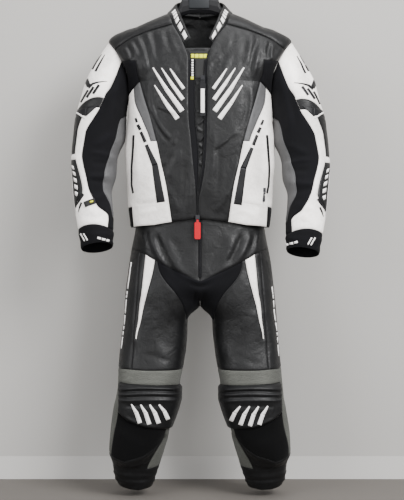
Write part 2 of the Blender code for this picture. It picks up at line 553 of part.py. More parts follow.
def ribbon(surface, side, places, width, lift):
    """A narrow grid along places on a surface, standing off it by lift."""
    centres, ways = [], []
    for v, u in places:
        points, normal = patch(surface, side, [v], [u], lift)
        centres.append(points[0, 0])
        ways.append(normal[0, 0])
    centres, ways = np.array(centres), np.array(ways)
    across_way = np.cross(ways, np.gradient(centres, axis=0))
    across_way *= width / 2 / np.linalg.norm(across_way, axis=-1, keepdims=True)
    return np.stack([centres - across_way, centres + across_way], 1), np.stack([ways, ways], 1)


def build_trim():
    """Pocket zips, which lie on the side panels."""
    wall = 1.2
    for side, word in ((-1, "left"), (1, "right")):
        grid = ribbon(torso_front, side, POCKET_ZIP, POCKET_ZIP_WIDTH, wall + 0.6)
        panel("pocket_zip_" + word, "black_stretch", [grid], wall)


def box_mesh(bm, centre, size):
    """Add a box."""
    shape = Matrix.Translation(Vector(centre) * MM) @ Matrix.Diagonal((*[s * MM for s in size], 1))
    bmesh.ops.create_cube(bm, size=1.0, matrix=shape)


def rod_mesh(bm, centre, radius, length):
    """Add a round rod along X."""
    shape = Matrix.Translation(Vector(centre) * MM) @ Matrix.Rotation(math.pi / 2, 4, "Y")
    bmesh.ops.create_cone(bm, cap_ends=True, segments=12, radius1=radius * MM, radius2=radius * MM,
                          depth=length * MM, matrix=shape)


def combine(target, cutter_mesh, operation):
    """Join or cut target with a mesh, by an exact Boolean on a hidden helper."""
    helper = add_object(target.name + "_helper", cutter_mesh, target.data.materials[0].name)
    helper.hide_render = True
    helper.display_type = "WIRE"
    modifier = target.modifiers.new(operation.title(), "BOOLEAN")
    modifier.operation = operation
    modifier.object = helper
    modifier.solver = "EXACT"


def build_slider(name, pin):
    """A zip slider with two cheeks that hold the pin its pull tab turns on."""
    x, y, z = pin
    body = bmesh.new()
    box_mesh(body, (x, y, z + HEAD_ROOM + SLIDER_SIZE[2] / 2), SLIDER_SIZE)
    slider = add_object(name, body, "metal")
    for way in (-1, 1):
        cheek = bmesh.new()
        box_mesh(cheek, (x + way * (TAB_WIDTH / 2 + 0.5 + CHEEK_SIZE[0] / 2), y, z + 2.5), CHEEK_SIZE)
        combine(slider, cheek, "UNION")
    rod = bmesh.new()
    rod_mesh(rod, pin, PIN_RADIUS, PIN_LENGTH - 2.2)
    combine(slider, rod, "UNION")


def build_pull(name, finish, pin, width, length, thickness=PULL_THICKNESS):
    """A flat pull tab with a narrow head round its pin; its origin is on the pin."""
    outline = [(-TAB_WIDTH / 2, 2.6), (-1.6, 3.6), (1.6, 3.6), (TAB_WIDTH / 2, 2.6), (TAB_WIDTH / 2, -3.6),
               (width / 2 - 1, -5), (width / 2, -7.5), (width / 2, 3 - length), (width / 2 - 3, -length),
               (3 - width / 2, -length), (-width / 2, 3 - length), (-width / 2, -7.5), (1 - width / 2, -5),
               (-TAB_WIDTH / 2, -3.6)]
    bm = bmesh.new()
    face = bm.faces.new([bm.verts.new(Vector((x, -thickness / 2, z)) * MM) for x, z in outline])
    grown = bmesh.ops.extrude_face_region(bm, geom=[face], use_keep_orig=True)
    moved = [item for item in grown["geom"] if isinstance(item, bmesh.types.BMVert)]
    bmesh.ops.translate(bm, verts=moved, vec=(0, thickness * MM, 0))
    bmesh.ops.recalc_face_normals(bm, faces=bm.faces)
    pull = add_object(name, bm, finish)
    pull.location = Vector(pin) * MM
    hole = bmesh.new()
    shape = Matrix.Rotation(math.pi / 2, 4, "Y")
    bmesh.ops.create_cone(hole, cap_ends=True, segments=16, radius1=PIN_HOLE * MM, radius2=PIN_HOLE * MM,
                          depth=4 * TAB_WIDTH * MM, matrix=Matrix.Translation(Vector(pin) * MM) @ shape)
    combine(pull, hole, "DIFFERENCE")


def build_pulls():
    """The three sliders and their hanging pulls."""
    build_slider("zip_slider", MAIN_PIN)
    build_slider("upper_slider", UPPER_PIN)
    build_slider("pocket_slider", POCKET_PIN)
    build_pull("zip_pull_red", "red_rubber", MAIN_PIN, 18, 54)
    build_pull("long_pull", "black_stretch", UPPER_PIN, 17, 102)
    build_pull("pocket_pull", "metal", POCKET_PIN, 8, 26)


def build_hanger():
    """Contoured hanger as one loft from end to end, and its bent wire hook."""
    bm = bmesh.new()
    half = np.array(HANGER, float)
    sections = np.concatenate([half[:0:-1] * [-1, 1, 1, 1], half])
    angles = np.arange(HANGER_RING) * 2 * math.pi / HANGER_RING
    rings = []
    for x, top, foot, depth in sections:
        middle, height = (top + foot) / 2, (top - foot) / 2
        ring = [bm.verts.new(Vector((x, depth * math.cos(a), middle + height * math.sin(a))) * MM) for a in angles]
        rings.append(ring)
    for low, high in zip(rings, rings[1:]):
        for k in range(HANGER_RING):
            n = (k + 1) % HANGER_RING
            bm.faces.new((low[k], low[n], high[n], high[k]))
    bm.faces.new(rings[0])
    bm.faces.new(rings[-1])
    bmesh.ops.recalc_face_normals(bm, faces=bm.faces)
    add_object("hanger", bm, "hanger_plastic")
    top = HANGER[0][1] + 0.4
    centre = Vector((0, 0, HOOK_WIRE - HOOK_RADIUS - HOOK_WIRE))
    turns = np.radians(np.linspace(-90, 165, 18))
    points = [Vector((0, 0, top)), Vector((0, 0, (top - 2 * HOOK_RADIUS) / 2))]
    points += [centre + Vector((HOOK_RADIUS * math.cos(a), 0, HOOK_RADIUS * math.sin(a))) for a in turns]
    curve = bpy.data.curves.new("hanger_hook", "CURVE")
    curve.dimensions = "3D"
    curve.bevel_depth = HOOK_WIRE * MM
    curve.bevel_resolution = 2
    curve.use_fill_caps = True
    spline = curve.splines.new("POLY")
    spline.points.add(len(points) - 1)
    for target, point in zip(spline.points, points):
        target.co = (*(point * MM), 1)
    curve.materials.append(material("metal"))
    hook = bpy.data.objects.new("hanger_hook", curve)
    bpy.context.scene.collection.objects.link(hook)


def clear_scene():
    """Remove what the scene holds."""
    for item in list(bpy.data.objects):
        bpy.data.objects.remove(item, do_unlink=True)


def main():
    """Build the whole suit."""
    clear_scene()
    build_jacket()
    build_sleeves()
    build_trousers()
    build_opening()
    build_trim()
    build_pulls()
    build_hanger()


main()
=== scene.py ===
"""Looks of the motorcycle race suit: leather and stretch panels, seams, zips and trim on its frame.

Every cloth panel is a grid of points on one of the tubes (torso, sleeve, leg, collar) that the
frame's panels lie on. Its points are moved along the normals by listed creases and by a dip
at its seams, and the sheet is then given its wall. Sizes are in millimetres unless a property
says otherwise; -X is the left side as seen from the front, which faces -Y.
"""
import math

import bpy
import numpy as np
from bpy.props import FloatProperty, FloatVectorProperty, PointerProperty
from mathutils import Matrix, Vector


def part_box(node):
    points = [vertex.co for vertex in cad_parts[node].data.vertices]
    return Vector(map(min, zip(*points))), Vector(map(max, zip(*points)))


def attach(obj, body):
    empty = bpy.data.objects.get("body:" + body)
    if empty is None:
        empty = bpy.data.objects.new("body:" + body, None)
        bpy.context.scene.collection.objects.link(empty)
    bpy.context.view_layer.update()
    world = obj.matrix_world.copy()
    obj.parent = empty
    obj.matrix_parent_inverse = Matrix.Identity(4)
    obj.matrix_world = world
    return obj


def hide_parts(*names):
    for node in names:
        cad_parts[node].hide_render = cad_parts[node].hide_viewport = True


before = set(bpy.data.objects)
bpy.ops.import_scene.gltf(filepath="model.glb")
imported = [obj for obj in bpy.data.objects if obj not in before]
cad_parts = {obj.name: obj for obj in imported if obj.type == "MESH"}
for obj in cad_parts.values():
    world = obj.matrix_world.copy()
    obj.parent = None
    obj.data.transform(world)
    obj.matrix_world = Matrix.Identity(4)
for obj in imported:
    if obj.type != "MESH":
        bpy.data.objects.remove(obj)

bl_info = {
    "name": "Motorcycle race suit",
    "version": (1, 0, 0),
    "blender": (4, 5, 0),
    "location": "View3D > Sidebar > Race suit",
    "description": "Builds the cloth, seams, zips and trim of a motorcycle race suit",
    "category": "Add Mesh",
}

MM = 0.001
LEATHER = 1.6
STRETCH = 1.2
PAD_LIFT = 7.0              # how far the knee pad stands out of the leg
RIGHT_SLEEVE_DROP = 14.0    # the right sleeve hangs a little lower
RIGHT_SLEEVE_WIDTH = 1.04
SQUARENESS = {"torso": 0.05, "leg": 0.03}

# Armhole loop: an upright oval from the shoulder tip to the armpit, bowed towards the chest.
TIP_X, TIP_Z = 279.0, -280.0
ARMPIT_X, ARMPIT_Z = 216.0, -445.0
ARMHOLE_HALF_DEPTH = 60.0
ARMHOLE_BOW = 20.0

# Torso sections from the hem up. around is the place on the armhole loop in degrees, or None
# below it. x_ and z_ are the seams' places: neck or front edge, princess seam, side panel seam,
# hem elastic, side.
TORSO_COLUMNS = ("half_width", "front", "back", "around", "x_front_left", "x_front_right", "x_princess",
                 "x_panel", "x_elastic", "z_front", "z_princess", "z_panel", "z_elastic", "z_side",
                 "x_back", "z_back")
TORSO = (
    (212, 109, 98, None, 9, -5, 84, 137, 200, -818, -827, -836, -841, -842, 0, -842),    # 0 hem
    (217, 116, 106, None, 11, -4, 92, 129, 204, -765, -770, -774, -781, -783, 0, -783),  # 1 hem band
    (222, 120, 108, None, 14, 6, 101, 128, 212, -715, -715, -715, -715, -715, 0, -715),  # 2
    (226, 122, 110, None, 20, 15, 115, 136, 216, -655, -655, -655, -655, -655, 0, -655),  # 3
    (226, 124, 112, None, 26, 19, 129, 147, 216, -589, -589, -589, -589, -589, 0, -589),  # 4 wedge foot
    (220, 125, 113, None, 33, 20, 147, 172, 209, -520, -520, -525, -520, -518, 0, -525),  # 5
    (217, 124, 112, None, 34, 20, 166, 196, 208, -460, -460, -464, -468, -472, 0, -465),  # 6
    (216, 121, 110, 180, 34, 20, 180, 199, 209, -409, -410, -427, -437, -445, 0, -420),   # 7 armpit
    (216, 117, 108, 125, 34, 20, 188, 200, 209, -379, -379, -390, -400, -410, 0, -370),   # 8
    (235, 111, 100, 78, 34, 22, 190, 207, 222, -346, -349, -348, -347, -345, 0, -300),    # 9 gusset top
    (244, 100, 84, 66, 50, 38, 191, 210, 227, -295, -313, -318, -324, -329, 0, -187),     # 10 collar end
    (254, 76, 74, 53, 81, 79, 192, 216, 237, -236, -271, -283, -297, -313, 62, -183),     # 11 yoke seam
    (279, 0, 0, 0, 102, 102, 192, 216, 240, -193, -235, -241, -250, -280, 102, -193),     # 12 shoulder line
)
HEM, BAND, WEDGE_FOOT, ARMPIT, GUSSET, YOKE, SHOULDER = 0, 1, 4, 7, 9, 11, 12

# Sleeve sections from the armhole down. bow_x and bow_z shift the front and back of the section,
# tilt lifts its front edge. The angles are seams: 0 outside, 90 front, 180 inside, 270 back.
SLEEVE_COLUMNS = ("x_out", "z_out", "x_in", "z_in", "y", "half_depth", "bow_x", "bow_z", "tilt",
                  "outer", "inlay", "stretch", "grey", "grey_back")
SLEEVE = (
    (279, -280, 216, -445, 0, 60, -20, 0, 0, 0, 53, 78, 125, 235),         # 0 armhole
    (312, -331, 218, -463, -2, 68, -12, 8, 0, 0, 52, 92, 140, 232),        # 1
    (345, -394, 220, -481, -5, 74, -5, 18, 0, 0, 50, 100, 153, 228),       # 2
    (371, -488, 222, -508, -9, 76, 0, 42, 0, 0, 47, 99, 165, 225),         # 3 cap edge
    (377, -508, 223, -532, -11, 75, 0, 33, 0, 0, 53, 92, 145, 225),        # 4 chevron edge
    (383, -556, 226, -574, -16, 72, 0, 0, 0, 0, 36, 62, 134, 225),         # 5
    (388, -623, 243, -617, -26, 68, 0, 0, 0, 0, 35, 60, 132, 225),         # 6 crossbar top
    (389, -640, 249, -640, -30, 67, 0, 0, 0, 0, 41, 63, 131, 225),         # 7 crossbar foot
    (386, -685, 251, -685, -42, 64, 0, 0, 0, 12, 54, 72, 121, 225),        # 8
    (382, -736, 265, -736, -57, 58, 0, 0, 0, 18, 67, 88, 131, 222),        # 9
    (373, -784, 261, -778, -72, 53, 0, 0, 0, 14, 26, 107, 157, 215),       # 10 inlay tip
    (368, -814, 257, -812, -82, 51, 0, 0, 2, 6, 45, 140, 165, 205),        # 11 wrist
    (361, -850, 256, -853, -94, 50, 0, 13, 5, 0, 50, 137, 166, 205),       # 12 cuff top
    (351, -909, 256, -897, -108, 46, 0, 0, 15, 0, 50, 137, 166, 205),      # 13 cuff end
)
CAP_EDGE, CHEVRON_EDGE, BAR_TOP, BAR_FOOT, INLAY_TIP, WRIST, CUFF_TOP, CUFF_END = 3, 4, 6, 7, 10, 11, 12, 13

# Leg sections from the waist down; above the crotch the section is cut off at the centre.
# Seams: centre or inseam, crotch panel or pad inner edge, wedge inner edge, wedge outer edge,
# side seam or pad outer edge, outside.
LEG_COLUMNS = ("x_outside", "x_inside", "centre", "y", "front", "back", "x_crotch", "x_wedge_in",
               "x_wedge_out", "x_side", "z_centre", "z_crotch", "z_wedge_in", "z_wedge_out", "z_side",
               "z_outside")
LEG = (
    (188, 0, 0, 0, 96, 86, 112, 120, 146, 162, -775, -775, -775, -775, -775, -775),               # 0 waist
    (196, 0, 0, 0, 99, 89, 118, 127, 155, 171, -840, -840, -840, -840, -840, -840),  # 1 under the hem
    (207, 0, 0, 0, 108, 110, 126, 135, 163, 181, -1003, -944, -940, -923, -914, -903),  # 2 yoke seam
    (226, 0, 105, 0, 101.5, 106, 60, 160, 175, 188, -1060, -1056, -1048, -1042, -1036, -1030),      # 3
    (228, 0.2, 114.1, 0, 100, 104, 49, 166, 179, 190, -1080, -1076, -1070, -1063, -1058, -1050),  # 4 crotch
    (232, 36, 134, -2, 96.5, 99, 41, 176, 184, 194, -1120, -1120, -1120, -1119, -1118, -1117),      # 5
    (238, 39, 138.5, -6, 92.5, 94, 46, 187, 190.5, 198, -1174, -1174, -1174, -1174, -1174, -1174),  # 6 wedge tip
    (245, 53, 149, -24, 86, 84, 61, 168, 190, 204, -1267, -1267, -1266, -1265, -1264, -1264),  # 7 knee band
    (247, 60, 153.5, -30, 86, 82, 66, 126, 192, 240, -1312, -1312, -1309, -1306, -1303, -1303),   # 8 pad top
    (252, 60, 156, -33, 86, 80, 66, 126, 192, 242, -1350, -1350, -1350, -1349, -1348, -1346),     # 9
    (260, 90, 175, -28, 82, 78, 99, 165, 214, 245, -1446, -1445, -1437, -1417, -1390, -1384),  # 10 pad foot
    (275, 98, 186.5, -10, 74, 78, 106, 168, 225, 268, -1480, -1474, -1523, -1542, -1526, -1518),  # 11 velour foot
    (265, 122, 193.5, 18, 66, 68, 158, 180, 212, 252, -1564, -1568, -1569, -1567, -1564, -1562),  # 12 calf foot
    (262, 134, 198, 30, 61, 63, 160, 182, 214, 247, -1601, -1602, -1604, -1604, -1602, -1600),    # 13
    (250, 146, 198, 40, 53, 55, 168, 186, 211, 237, -1633, -1636, -1639, -1637, -1632, -1629),  # 14 ankle hem
)
SEAT_RISE = (0, 75, 0)      # the back centre is this much higher than the front yoke seam's dip
WAIST, YOKE_SEAM, CROTCH_END, WEDGE_TIP, KNEE_BAND, PAD_TOP, PAD_FOOT = 0, 2, 5, 6, 7, 8, 10
VELOUR_FOOT, CALF_FOOT, ANKLE_HEM = 11, 12, 14

# Collar: foot and top of the band from the front end to the centre back.
COLLAR_TOP = ((27, -4, -284), (57, -2, -212), (66, -26, -182), (72, 2, -160), (66, 34, -150), (46, 58, -142),
              (0, 69, -136))
COLLAR_FOOT_ROWS = (10, 11, 11.5, 12, 11.5, 11, 10)     # torso rows, front end round to the centre back
COLLAR_WALL = 3.0

# Behind the front opening, how far in from the leather's outer face each layer lies.
TAPE_DEPTH, LABEL_DEPTH, FLAP_DEPTH = 3.4, 5.6, 7.6
TAPE_WALL, LABEL_WALL, FLAP_WALL = 1.2, 0.9, 1.5

# Pocket zip: (row, column) places along the middle of the ribbon.
POCKET_ZIP = ((1.6, 2.80), (2, 2.84), (3, 2.73), (4, 2.61), (4.3, 2.58))
POCKET_ZIP_WIDTH = 9.0


CREASE_GAIN = 1.28          # what every crease's depth is multiplied by
SWELL = {  # how far each part's cloth rises and falls over the slow noise, in millimetres
    "jacket": 0.9, "sleeve": 0.9, "leg": 1.0, "collar": 0.3, "pad": 0.4, "cuff": 0.5, "flap": 0.8, "plain": 0.0,
}

# Creases, as seen from the front, or for "back" as if seen through from the front. x and z are the
# two ends, bow is how far the middle stands to one side, width the half width of the rise. A
# positive depth is a ridge and a negative one a trough. A ring runs level from x0 to x1.
CREASES = (  # part, face, x0, z0, x1, z1, bow, width, depth
    # left chest: short folds out of the armhole, then long soft ones down the chest
    ("jacket", "front", -212, -290, -188, -338, 5, 6, 2.9),
    ("jacket", "front", -201, -286, -172, -342, 6, 6, -2.7),
    ("jacket", "front", -229, -306, -210, -348, 4, 5, 2.4),
    ("jacket", "front", -222, -296, -199, -352, 5, 5, -2.2),
    ("jacket", "front", -190, -280, -158, -392, 9, 9, 3.4),
    ("jacket", "front", -176, -268, -146, -400, 8, 9, -2.7),
    ("jacket", "front", -164, -256, -138, -360, 6, 10, 2.6),
    ("jacket", "front", -138, -262, -124, -352, -4, 9, -1.9),
    ("jacket", "front", -118, -262, -112, -338, 3, 9, 2.0),
    ("jacket", "front", -100, -262, -72, -330, -7, 7, -2.4),
    ("jacket", "front", -86, -292, -60, -372, 5, 8, 2.2),
    ("jacket", "front", -70, -318, -52, -392, -4, 6, -2.4),
    ("jacket", "front", -148, -400, -130, -560, -8, 11, 2.4),
    ("jacket", "front", -138, -418, -122, -520, -5, 8, -1.9),
    # left chest insert line, and the folds that run from it to the opening
    ("jacket", "front", -150, -486, -78, -606, -12, 5, -2.4),
    ("jacket", "front", -142, -478, -70, -594, -13, 6, 2.4),
    ("jacket", "front", -136, -488, -48, -520, -7, 6, -1.9),
    ("jacket", "front", -128, -482, -44, -508, -6, 7, 2.0),
    ("jacket", "front", -76, -604, -62, -560, 5, 7, 1.9),
    ("jacket", "front", -70, -622, -108, -700, -8, 10, -1.9),
    ("jacket", "front", -56, -610, -84, -716, -6, 12, 2.1),
    ("jacket", "front", -44, -640, -52, -792, 4, 9, -1.9),
    ("jacket", "front", -34, -660, -34, -806, 3, 7, 1.9),
    ("jacket", "front", -96, -722, -66, -800, 4, 10, 1.8),
    ("jacket", "front", -104, -640, -92, -700, 3, 9, 1.8),
    # right chest
    ("jacket", "front", 220, -296, 214, -350, -4, 5, 2.7),
    ("jacket", "front", 211, -290, 202, -346, -4, 5, -2.6),
    ("jacket", "front", 204, -286, 190, -330, -4, 6, 2.7),
    ("jacket", "front", 192, -282, 160, -410, -9, 9, 3.5),
    ("jacket", "front", 178, -276, 150, -396, -8, 8, -2.9),
    ("jacket", "front", 160, -264, 142, -366, -4, 10, 2.4),
    ("jacket", "front", 132, -262, 128, -340, 3, 9, -2.0),
    ("jacket", "front", 104, -246, 68, -362, 6, 7, -2.7),
    ("jacket", "front", 92, -262, 62, -410, 7, 8, 2.6),
    ("jacket", "front", 56, -328, 40, -356, 3, 5, 2.2),
    ("jacket", "front", 54, -344, 42, -374, -3, 4, -2.1),
    ("jacket", "front", 58, -360, 44, -392, 2, 5, 2.1),
    ("jacket", "front", 148, -404, 136, -580, 9, 11, 2.4),
    ("jacket", "front", 138, -430, 128, -548, 6, 8, -1.8),
    ("jacket", "front", 104, -566, 40, -622, 6, 6, -2.1),
    ("jacket", "front", 112, -552, 46, -608, 7, 8, 1.8),
    ("jacket", "front", 40, -560, 34, -700, 3, 8, 1.8),
    ("jacket", "front", 54, -600, 46, -760, 4, 9, -2.0),
    ("jacket", "front", 112, -640, 70, -760, 7, 12, 2.0),
    ("jacket", "front", 84, -730, 40, -800, 5, 10, 1.8),
    # white sides and hem bands
    ("jacket", "front", -190, -500, -178, -690, -8, 14, 1.9),
    ("jacket", "front", -206, -560, -204, -720, 4, 10, -2.0),
    ("jacket", "front", -150, -650, -140, -740, 4, 10, 1.8),
    ("jacket", "front", -196, -770, -120, -762, -5, 6, -1.8),
    ("jacket", "front", -186, -806, -118, -792, 5, 9, 1.6),
    ("jacket", "front", 186, -500, 196, -700, 8, 14, 2.1),
    ("jacket", "front", 166, -600, 172, -740, 4, 11, -1.8),
    ("jacket", "front", 206, -540, 204, -660, -5, 9, 2.0),
    ("jacket", "front", 110, -790, 176, -816, 4, 8, 1.8),
    ("jacket", "front", 120, -772, 190, -786, 4, 7, -1.8),
    # back of the jacket: armhole folds, blades and the drop to the hem
    ("jacket", "back", -206, -300, -150, -420, 10, 9, 3.8),
    ("jacket", "back", -190, -292, -138, -400, 8, 8, -3.0),
    ("jacket", "back", -160, -280, -110, -350, 6, 9, 2.6),
    ("jacket", "back", 210, -296, 158, -430, -9, 9, 3.8),
    ("jacket", "back", 194, -300, 144, -390, -8, 8, -3.2),
    ("jacket", "back", 150, -270, 120, -352, -5, 10, 2.4),
    ("jacket", "back", -150, -430, -120, -600, 8, 12, 2.8),
    ("jacket", "back", 146, -440, 124, -570, -8, 11, 2.6),
    ("jacket", "back", -80, -470, -70, -660, 5, 14, 2.2),
    ("jacket", "back", 70, -500, 84, -700, 6, 13, 2.4),
    ("jacket", "back", -110, -640, 60, -668, 9, 9, -2.8),
    ("jacket", "back", -60, -676, 130, -690, 8, 10, 2.6),
    ("jacket", "back", -150, -712, 20, -724, -7, 9, 2.4),
    ("jacket", "back", -20, -738, 140, -726, -6, 8, -2.4),
    ("jacket", "back", -60, -196, 60, -200, 3, 5, 2.4),
    ("jacket", "back", -70, -208, 66, -212, 4, 5, -2.6),
    ("jacket", "back", -64, -221, 72, -226, 3, 6, 2.4),
    # sleeves: caps, elbows and forearms
    ("sleeve", "front", -262, -330, -292, -440, 6, 12, 2.2),
    ("sleeve", "front", -300, -330, -336, -430, 6, 14, -1.8),
    ("sleeve", "front", -246, -420, -300, -470, 5, 10, 2.0),
    ("sleeve", "front", -236, -380, -262, -560, -7, 11, 2.8),
    ("sleeve", "front", -252, -400, -286, -540, -6, 9, -2.4),
    ("sleeve", "front", -262, -560, -320, -600, 5, 10, 2.2),
    ("sleeve", "front", -250, -640, -330, -622, -6, 8, 2.8),
    ("sleeve", "front", -252, -662, -322, -652, -5, 8, -2.8),
    ("sleeve", "front", -258, -684, -336, -690, 5, 9, 2.8),
    ("sleeve", "front", -268, -716, -330, -704, -4, 8, -2.2),
    ("sleeve", "front", -270, -742, -340, -760, 5, 10, 2.2),
    ("sleeve", "front", -348, -770, -300, -812, 5, 9, 1.8),
    ("sleeve", "front", -340, -822, -284, -826, 4, 7, 1.8),
    ("sleeve", "front", 266, -340, 296, -450, -6, 12, 2.4),
    ("sleeve", "front", 306, -346, 340, -440, -5, 13, -1.8),
    ("sleeve", "front", 240, -390, 268, -570, 8, 11, 2.8),
    ("sleeve", "front", 256, -420, 290, -560, 6, 9, -2.2),
    ("sleeve", "front", 262, -590, 326, -624, -5, 10, 2.4),
    ("sleeve", "front", 254, -656, 330, -644, 5, 8, 2.8),
    ("sleeve", "front", 256, -680, 326, -676, 5, 8, -2.8),
    ("sleeve", "front", 262, -704, 344, -712, -5, 9, 2.6),
    ("sleeve", "front", 276, -742, 340, -730, 4, 9, -2.0),
    ("sleeve", "front", 280, -770, 346, -786, -4, 10, 2.0),
    ("sleeve", "front", 300, -800, 352, -840, -4, 9, 2.2),
    ("sleeve", "back", -240, -420, -300, -560, 8, 12, 3.0),
    ("sleeve", "back", -262, -400, -330, -500, 6, 12, -2.4),
    ("sleeve", "back", -258, -606, -370, -600, 6, 9, 3.2),
    ("sleeve", "back", -256, -630, -376, -632, -6, 9, -3.2),
    ("sleeve", "back", -262, -656, -372, -664, 5, 10, 3.0),
    ("sleeve", "back", -276, -700, -360, -690, 5, 11, 2.2),
    ("sleeve", "back", -290, -760, -350, -740, 4, 10, -2.0),
    ("sleeve", "back", 244, -430, 306, -570, -8, 12, 3.0),
    ("sleeve", "back", 262, -620, 380, -612, 6, 9, 3.0),
    ("sleeve", "back", 262, -646, 384, -650, -6, 9, -3.0),
    ("sleeve", "back", 266, -676, 380, -682, 5, 10, 3.2),
    ("sleeve", "back", 284, -730, 366, -716, 5, 11, 2.0),
    ("cuff", "ring", -380, -866, -240, -866, 3, 6, 1.5),
    ("cuff", "ring", -380, -886, -240, -880, -3, 6, -1.2),
    ("cuff", "ring", 240, -876, 380, -884, 3, 6, 1.5),
    ("cuff", "ring", 240, -892, 380, -900, -3, 6, -1.2),
    # trousers: gathers under the jacket, the fly and the crotch
    ("leg", "front", -152, -850, -96, -960, -8, 10, 4.2),
    ("leg", "front", -132, -856, -62, -994, -9, 8, -5.0),
    ("leg", "front", -108, -862, -44, -990, -6, 10, 3.6),
    ("leg", "front", -80, -868, -34, -940, -4, 9, -2.8),
    ("leg", "front", -176, -858, -158, -916, 4, 9, 2.6),
    ("leg", "front", 150, -856, 104, -950, 7, 10, 4.0),
    ("leg", "front", 124, -860, 72, -960, 7, 8, -4.4),
    ("leg", "front", 96, -864, 60, -980, 6, 10, 3.2),
    ("leg", "front", 70, -870, 36, -930, 4, 9, -2.4),
    ("leg", "front", 178, -860, 166, -920, -4, 8, 2.6),
    ("leg", "front", -16, -868, -15, -984, 0, 5, 3.0),
    ("leg", "front", 16, -868, 15, -984, 0, 5, 3.0),
    ("leg", "front", -38, -988, 38, -990, -14, 6, 3.0),
    ("leg", "front", -30, -1010, 32, -1010, -8, 5, -2.6),
    ("leg", "front", -14, -1030, -22, -1078, 3, 5, -3.0),
    ("leg", "front", 12, -1030, 20, -1078, -3, 5, -3.0),
    ("leg", "front", -84, -1040, -52, -1120, -6, 8, 2.4),
    ("leg", "front", 86, -1040, 56, -1124, 6, 8, 2.4),
    # thighs
    ("leg", "front", -148, -1090, -136, -1120, 3, 6, 2.4),
    ("leg", "front", -138, -1112, -132, -1170, -4, 8, 2.8),
    ("leg", "front", -134, -1160, -100, -1236, -5, 7, 2.8),
    ("leg", "front", -124, -1130, -84, -1210, -5, 10, -2.0),
    ("leg", "front", -206, -1100, -176, -1250, 5, 12, 1.8),
    ("leg", "front", -170, -1216, -90, -1246, 5, 8, -2.0),
    ("leg", "front", 108, -1140, 78, -1240, 7, 9, 2.6),
    ("leg", "front", 128, -1130, 98, -1224, 5, 9, -1.8),
    ("leg", "front", 160, -1090, 130, -1150, 4, 11, 1.8),
    ("leg", "front", 94, -1212, 180, -1248, -5, 8, -2.0),
    ("leg", "front", 200, -1110, 216, -1240, 5, 12, 1.8),
    ("leg", "back", -180, -880, -60, -930, 8, 10, 3.2),
    ("leg", "back", -190, -930, -70, -980, 8, 10, -2.8),
    ("leg", "back", 176, -876, 60, -940, -8, 10, 3.2),
    ("leg", "back", 190, -940, 80, -990, -8, 10, -2.8),
    ("leg", "back", -200, -1010, -30, -1060, 12, 9, 3.2),
    ("leg", "back", 196, -1020, 36, -1054, -12, 9, 3.4),
    ("leg", "back", -196, -1040, -60, -1086, 8, 8, -3.0),
    ("leg", "back", 200, -1046, 70, -1080, -8, 8, -3.0),
    ("leg", "back", -220, -1150, -100, -1130, -6, 11, 2.4),
    ("leg", "back", 220, -1160, 104, -1140, 6, 11, 2.4),
    ("leg", "back", -236, -1236, -70, -1226, 6, 9, -3.0),
    ("leg", "back", 240, -1230, 76, -1240, -6, 9, -3.0),
    ("leg", "back", -238, -1262, -66, -1270, 5, 8, 3.2),
    ("leg", "back", 238, -1268, 70, -1262, -5, 8, 3.2),
    ("leg", "back", -240, -1300, -74, -1292, -5, 8, -3.4),
    ("leg", "back", 240, -1294, 74, -1304, 5, 8, -3.4),
    ("leg", "back", -244, -1330, -76, -1338, 5, 9, 3.2),
    ("leg", "back", 246, -1336, 78, -1328, -5, 9, 3.2),
    ("leg", "back", -246, -1376, -90, -1368, 5, 9, -2.8),
    ("leg", "back", 250, -1370, 92, -1380, -5, 9, -2.8),
    ("leg", "back", -252, -1430, -120, -1440, 6, 12, 2.4),
    ("leg", "back", 254, -1440, 118, -1428, -6, 12, 2.4),
    # shins and ankles
    ("leg", "front", -256, -1548, -140, -1528, -17, 5, 2.2),
    ("leg", "front", 258, -1550, 142, -1530, 17, 5, 2.2),
    ("leg", "front", -250, -1440, -150, -1486, -8, 14, 1.8),
    ("leg", "front", 250, -1444, 156, -1492, 8, 14, 1.8),
    ("leg", "ring", -285, -1584, -120, -1590, -3, 4, 1.7),
    ("leg", "ring", -285, -1596, -120, -1603, -3, 4, -1.6),
    ("leg", "ring", -285, -1606, -120, -1613, -3, 4, 1.6),
    ("leg", "ring", 120, -1592, 285, -1584, -3, 4, 1.7),
    ("leg", "ring", 120, -1604, 285, -1597, -3, 4, -1.6),
    ("leg", "ring", 120, -1614, 285, -1607, -3, 4, 1.6),
    # knee pads: three folds across the top, a slack one below and the rolled lower edge
    ("pad", "ring", -246, -1327, -60, -1326, 9, 4.2, 3.4),
    ("pad", "ring", -246, -1334, -60, -1333, 9, 3.4, -3.0),
    ("pad", "ring", -246, -1342, -60, -1340, 8, 4.0, 3.2),
    ("pad", "ring", -246, -1350, -60, -1348, 8, 3.6, -3.0),
    ("pad", "ring", -246, -1358, -60, -1356, 6, 4.6, 2.8),
    ("pad", "front", -226, -1372, -96, -1370, 4, 5, -1.8),
    ("pad", "front", -222, -1400, -120, -1434, -6, 5, 1.6),
    ("pad", "ring", 60, -1328, 246, -1327, 9, 4.2, 3.4),
    ("pad", "ring", 60, -1336, 246, -1334, 9, 3.4, -3.0),
    ("pad", "ring", 60, -1343, 246, -1342, 8, 4.0, 3.2),
    ("pad", "ring", 60, -1351, 246, -1350, 8, 3.6, -3.0),
    ("pad", "ring", 60, -1359, 246, -1357, 6, 4.6, 2.8),
    ("pad", "front", 100, -1372, 228, -1374, 4, 5, -1.8),
    ("pad", "front", 222, -1404, 126, -1436, 6, 5, 1.6),
    # the wind flap's crumples
    ("flap", "front", -10, -500, 12, -516, 3, 4, 2.6),
    ("flap", "front", 10, -522, -8, -540, 3, 4, 2.8),
    ("flap", "front", -12, -548, 12, -560, -3, 4, 2.4),
    ("flap", "front", 12, -572, -6, -590, 3, 4, 2.8),
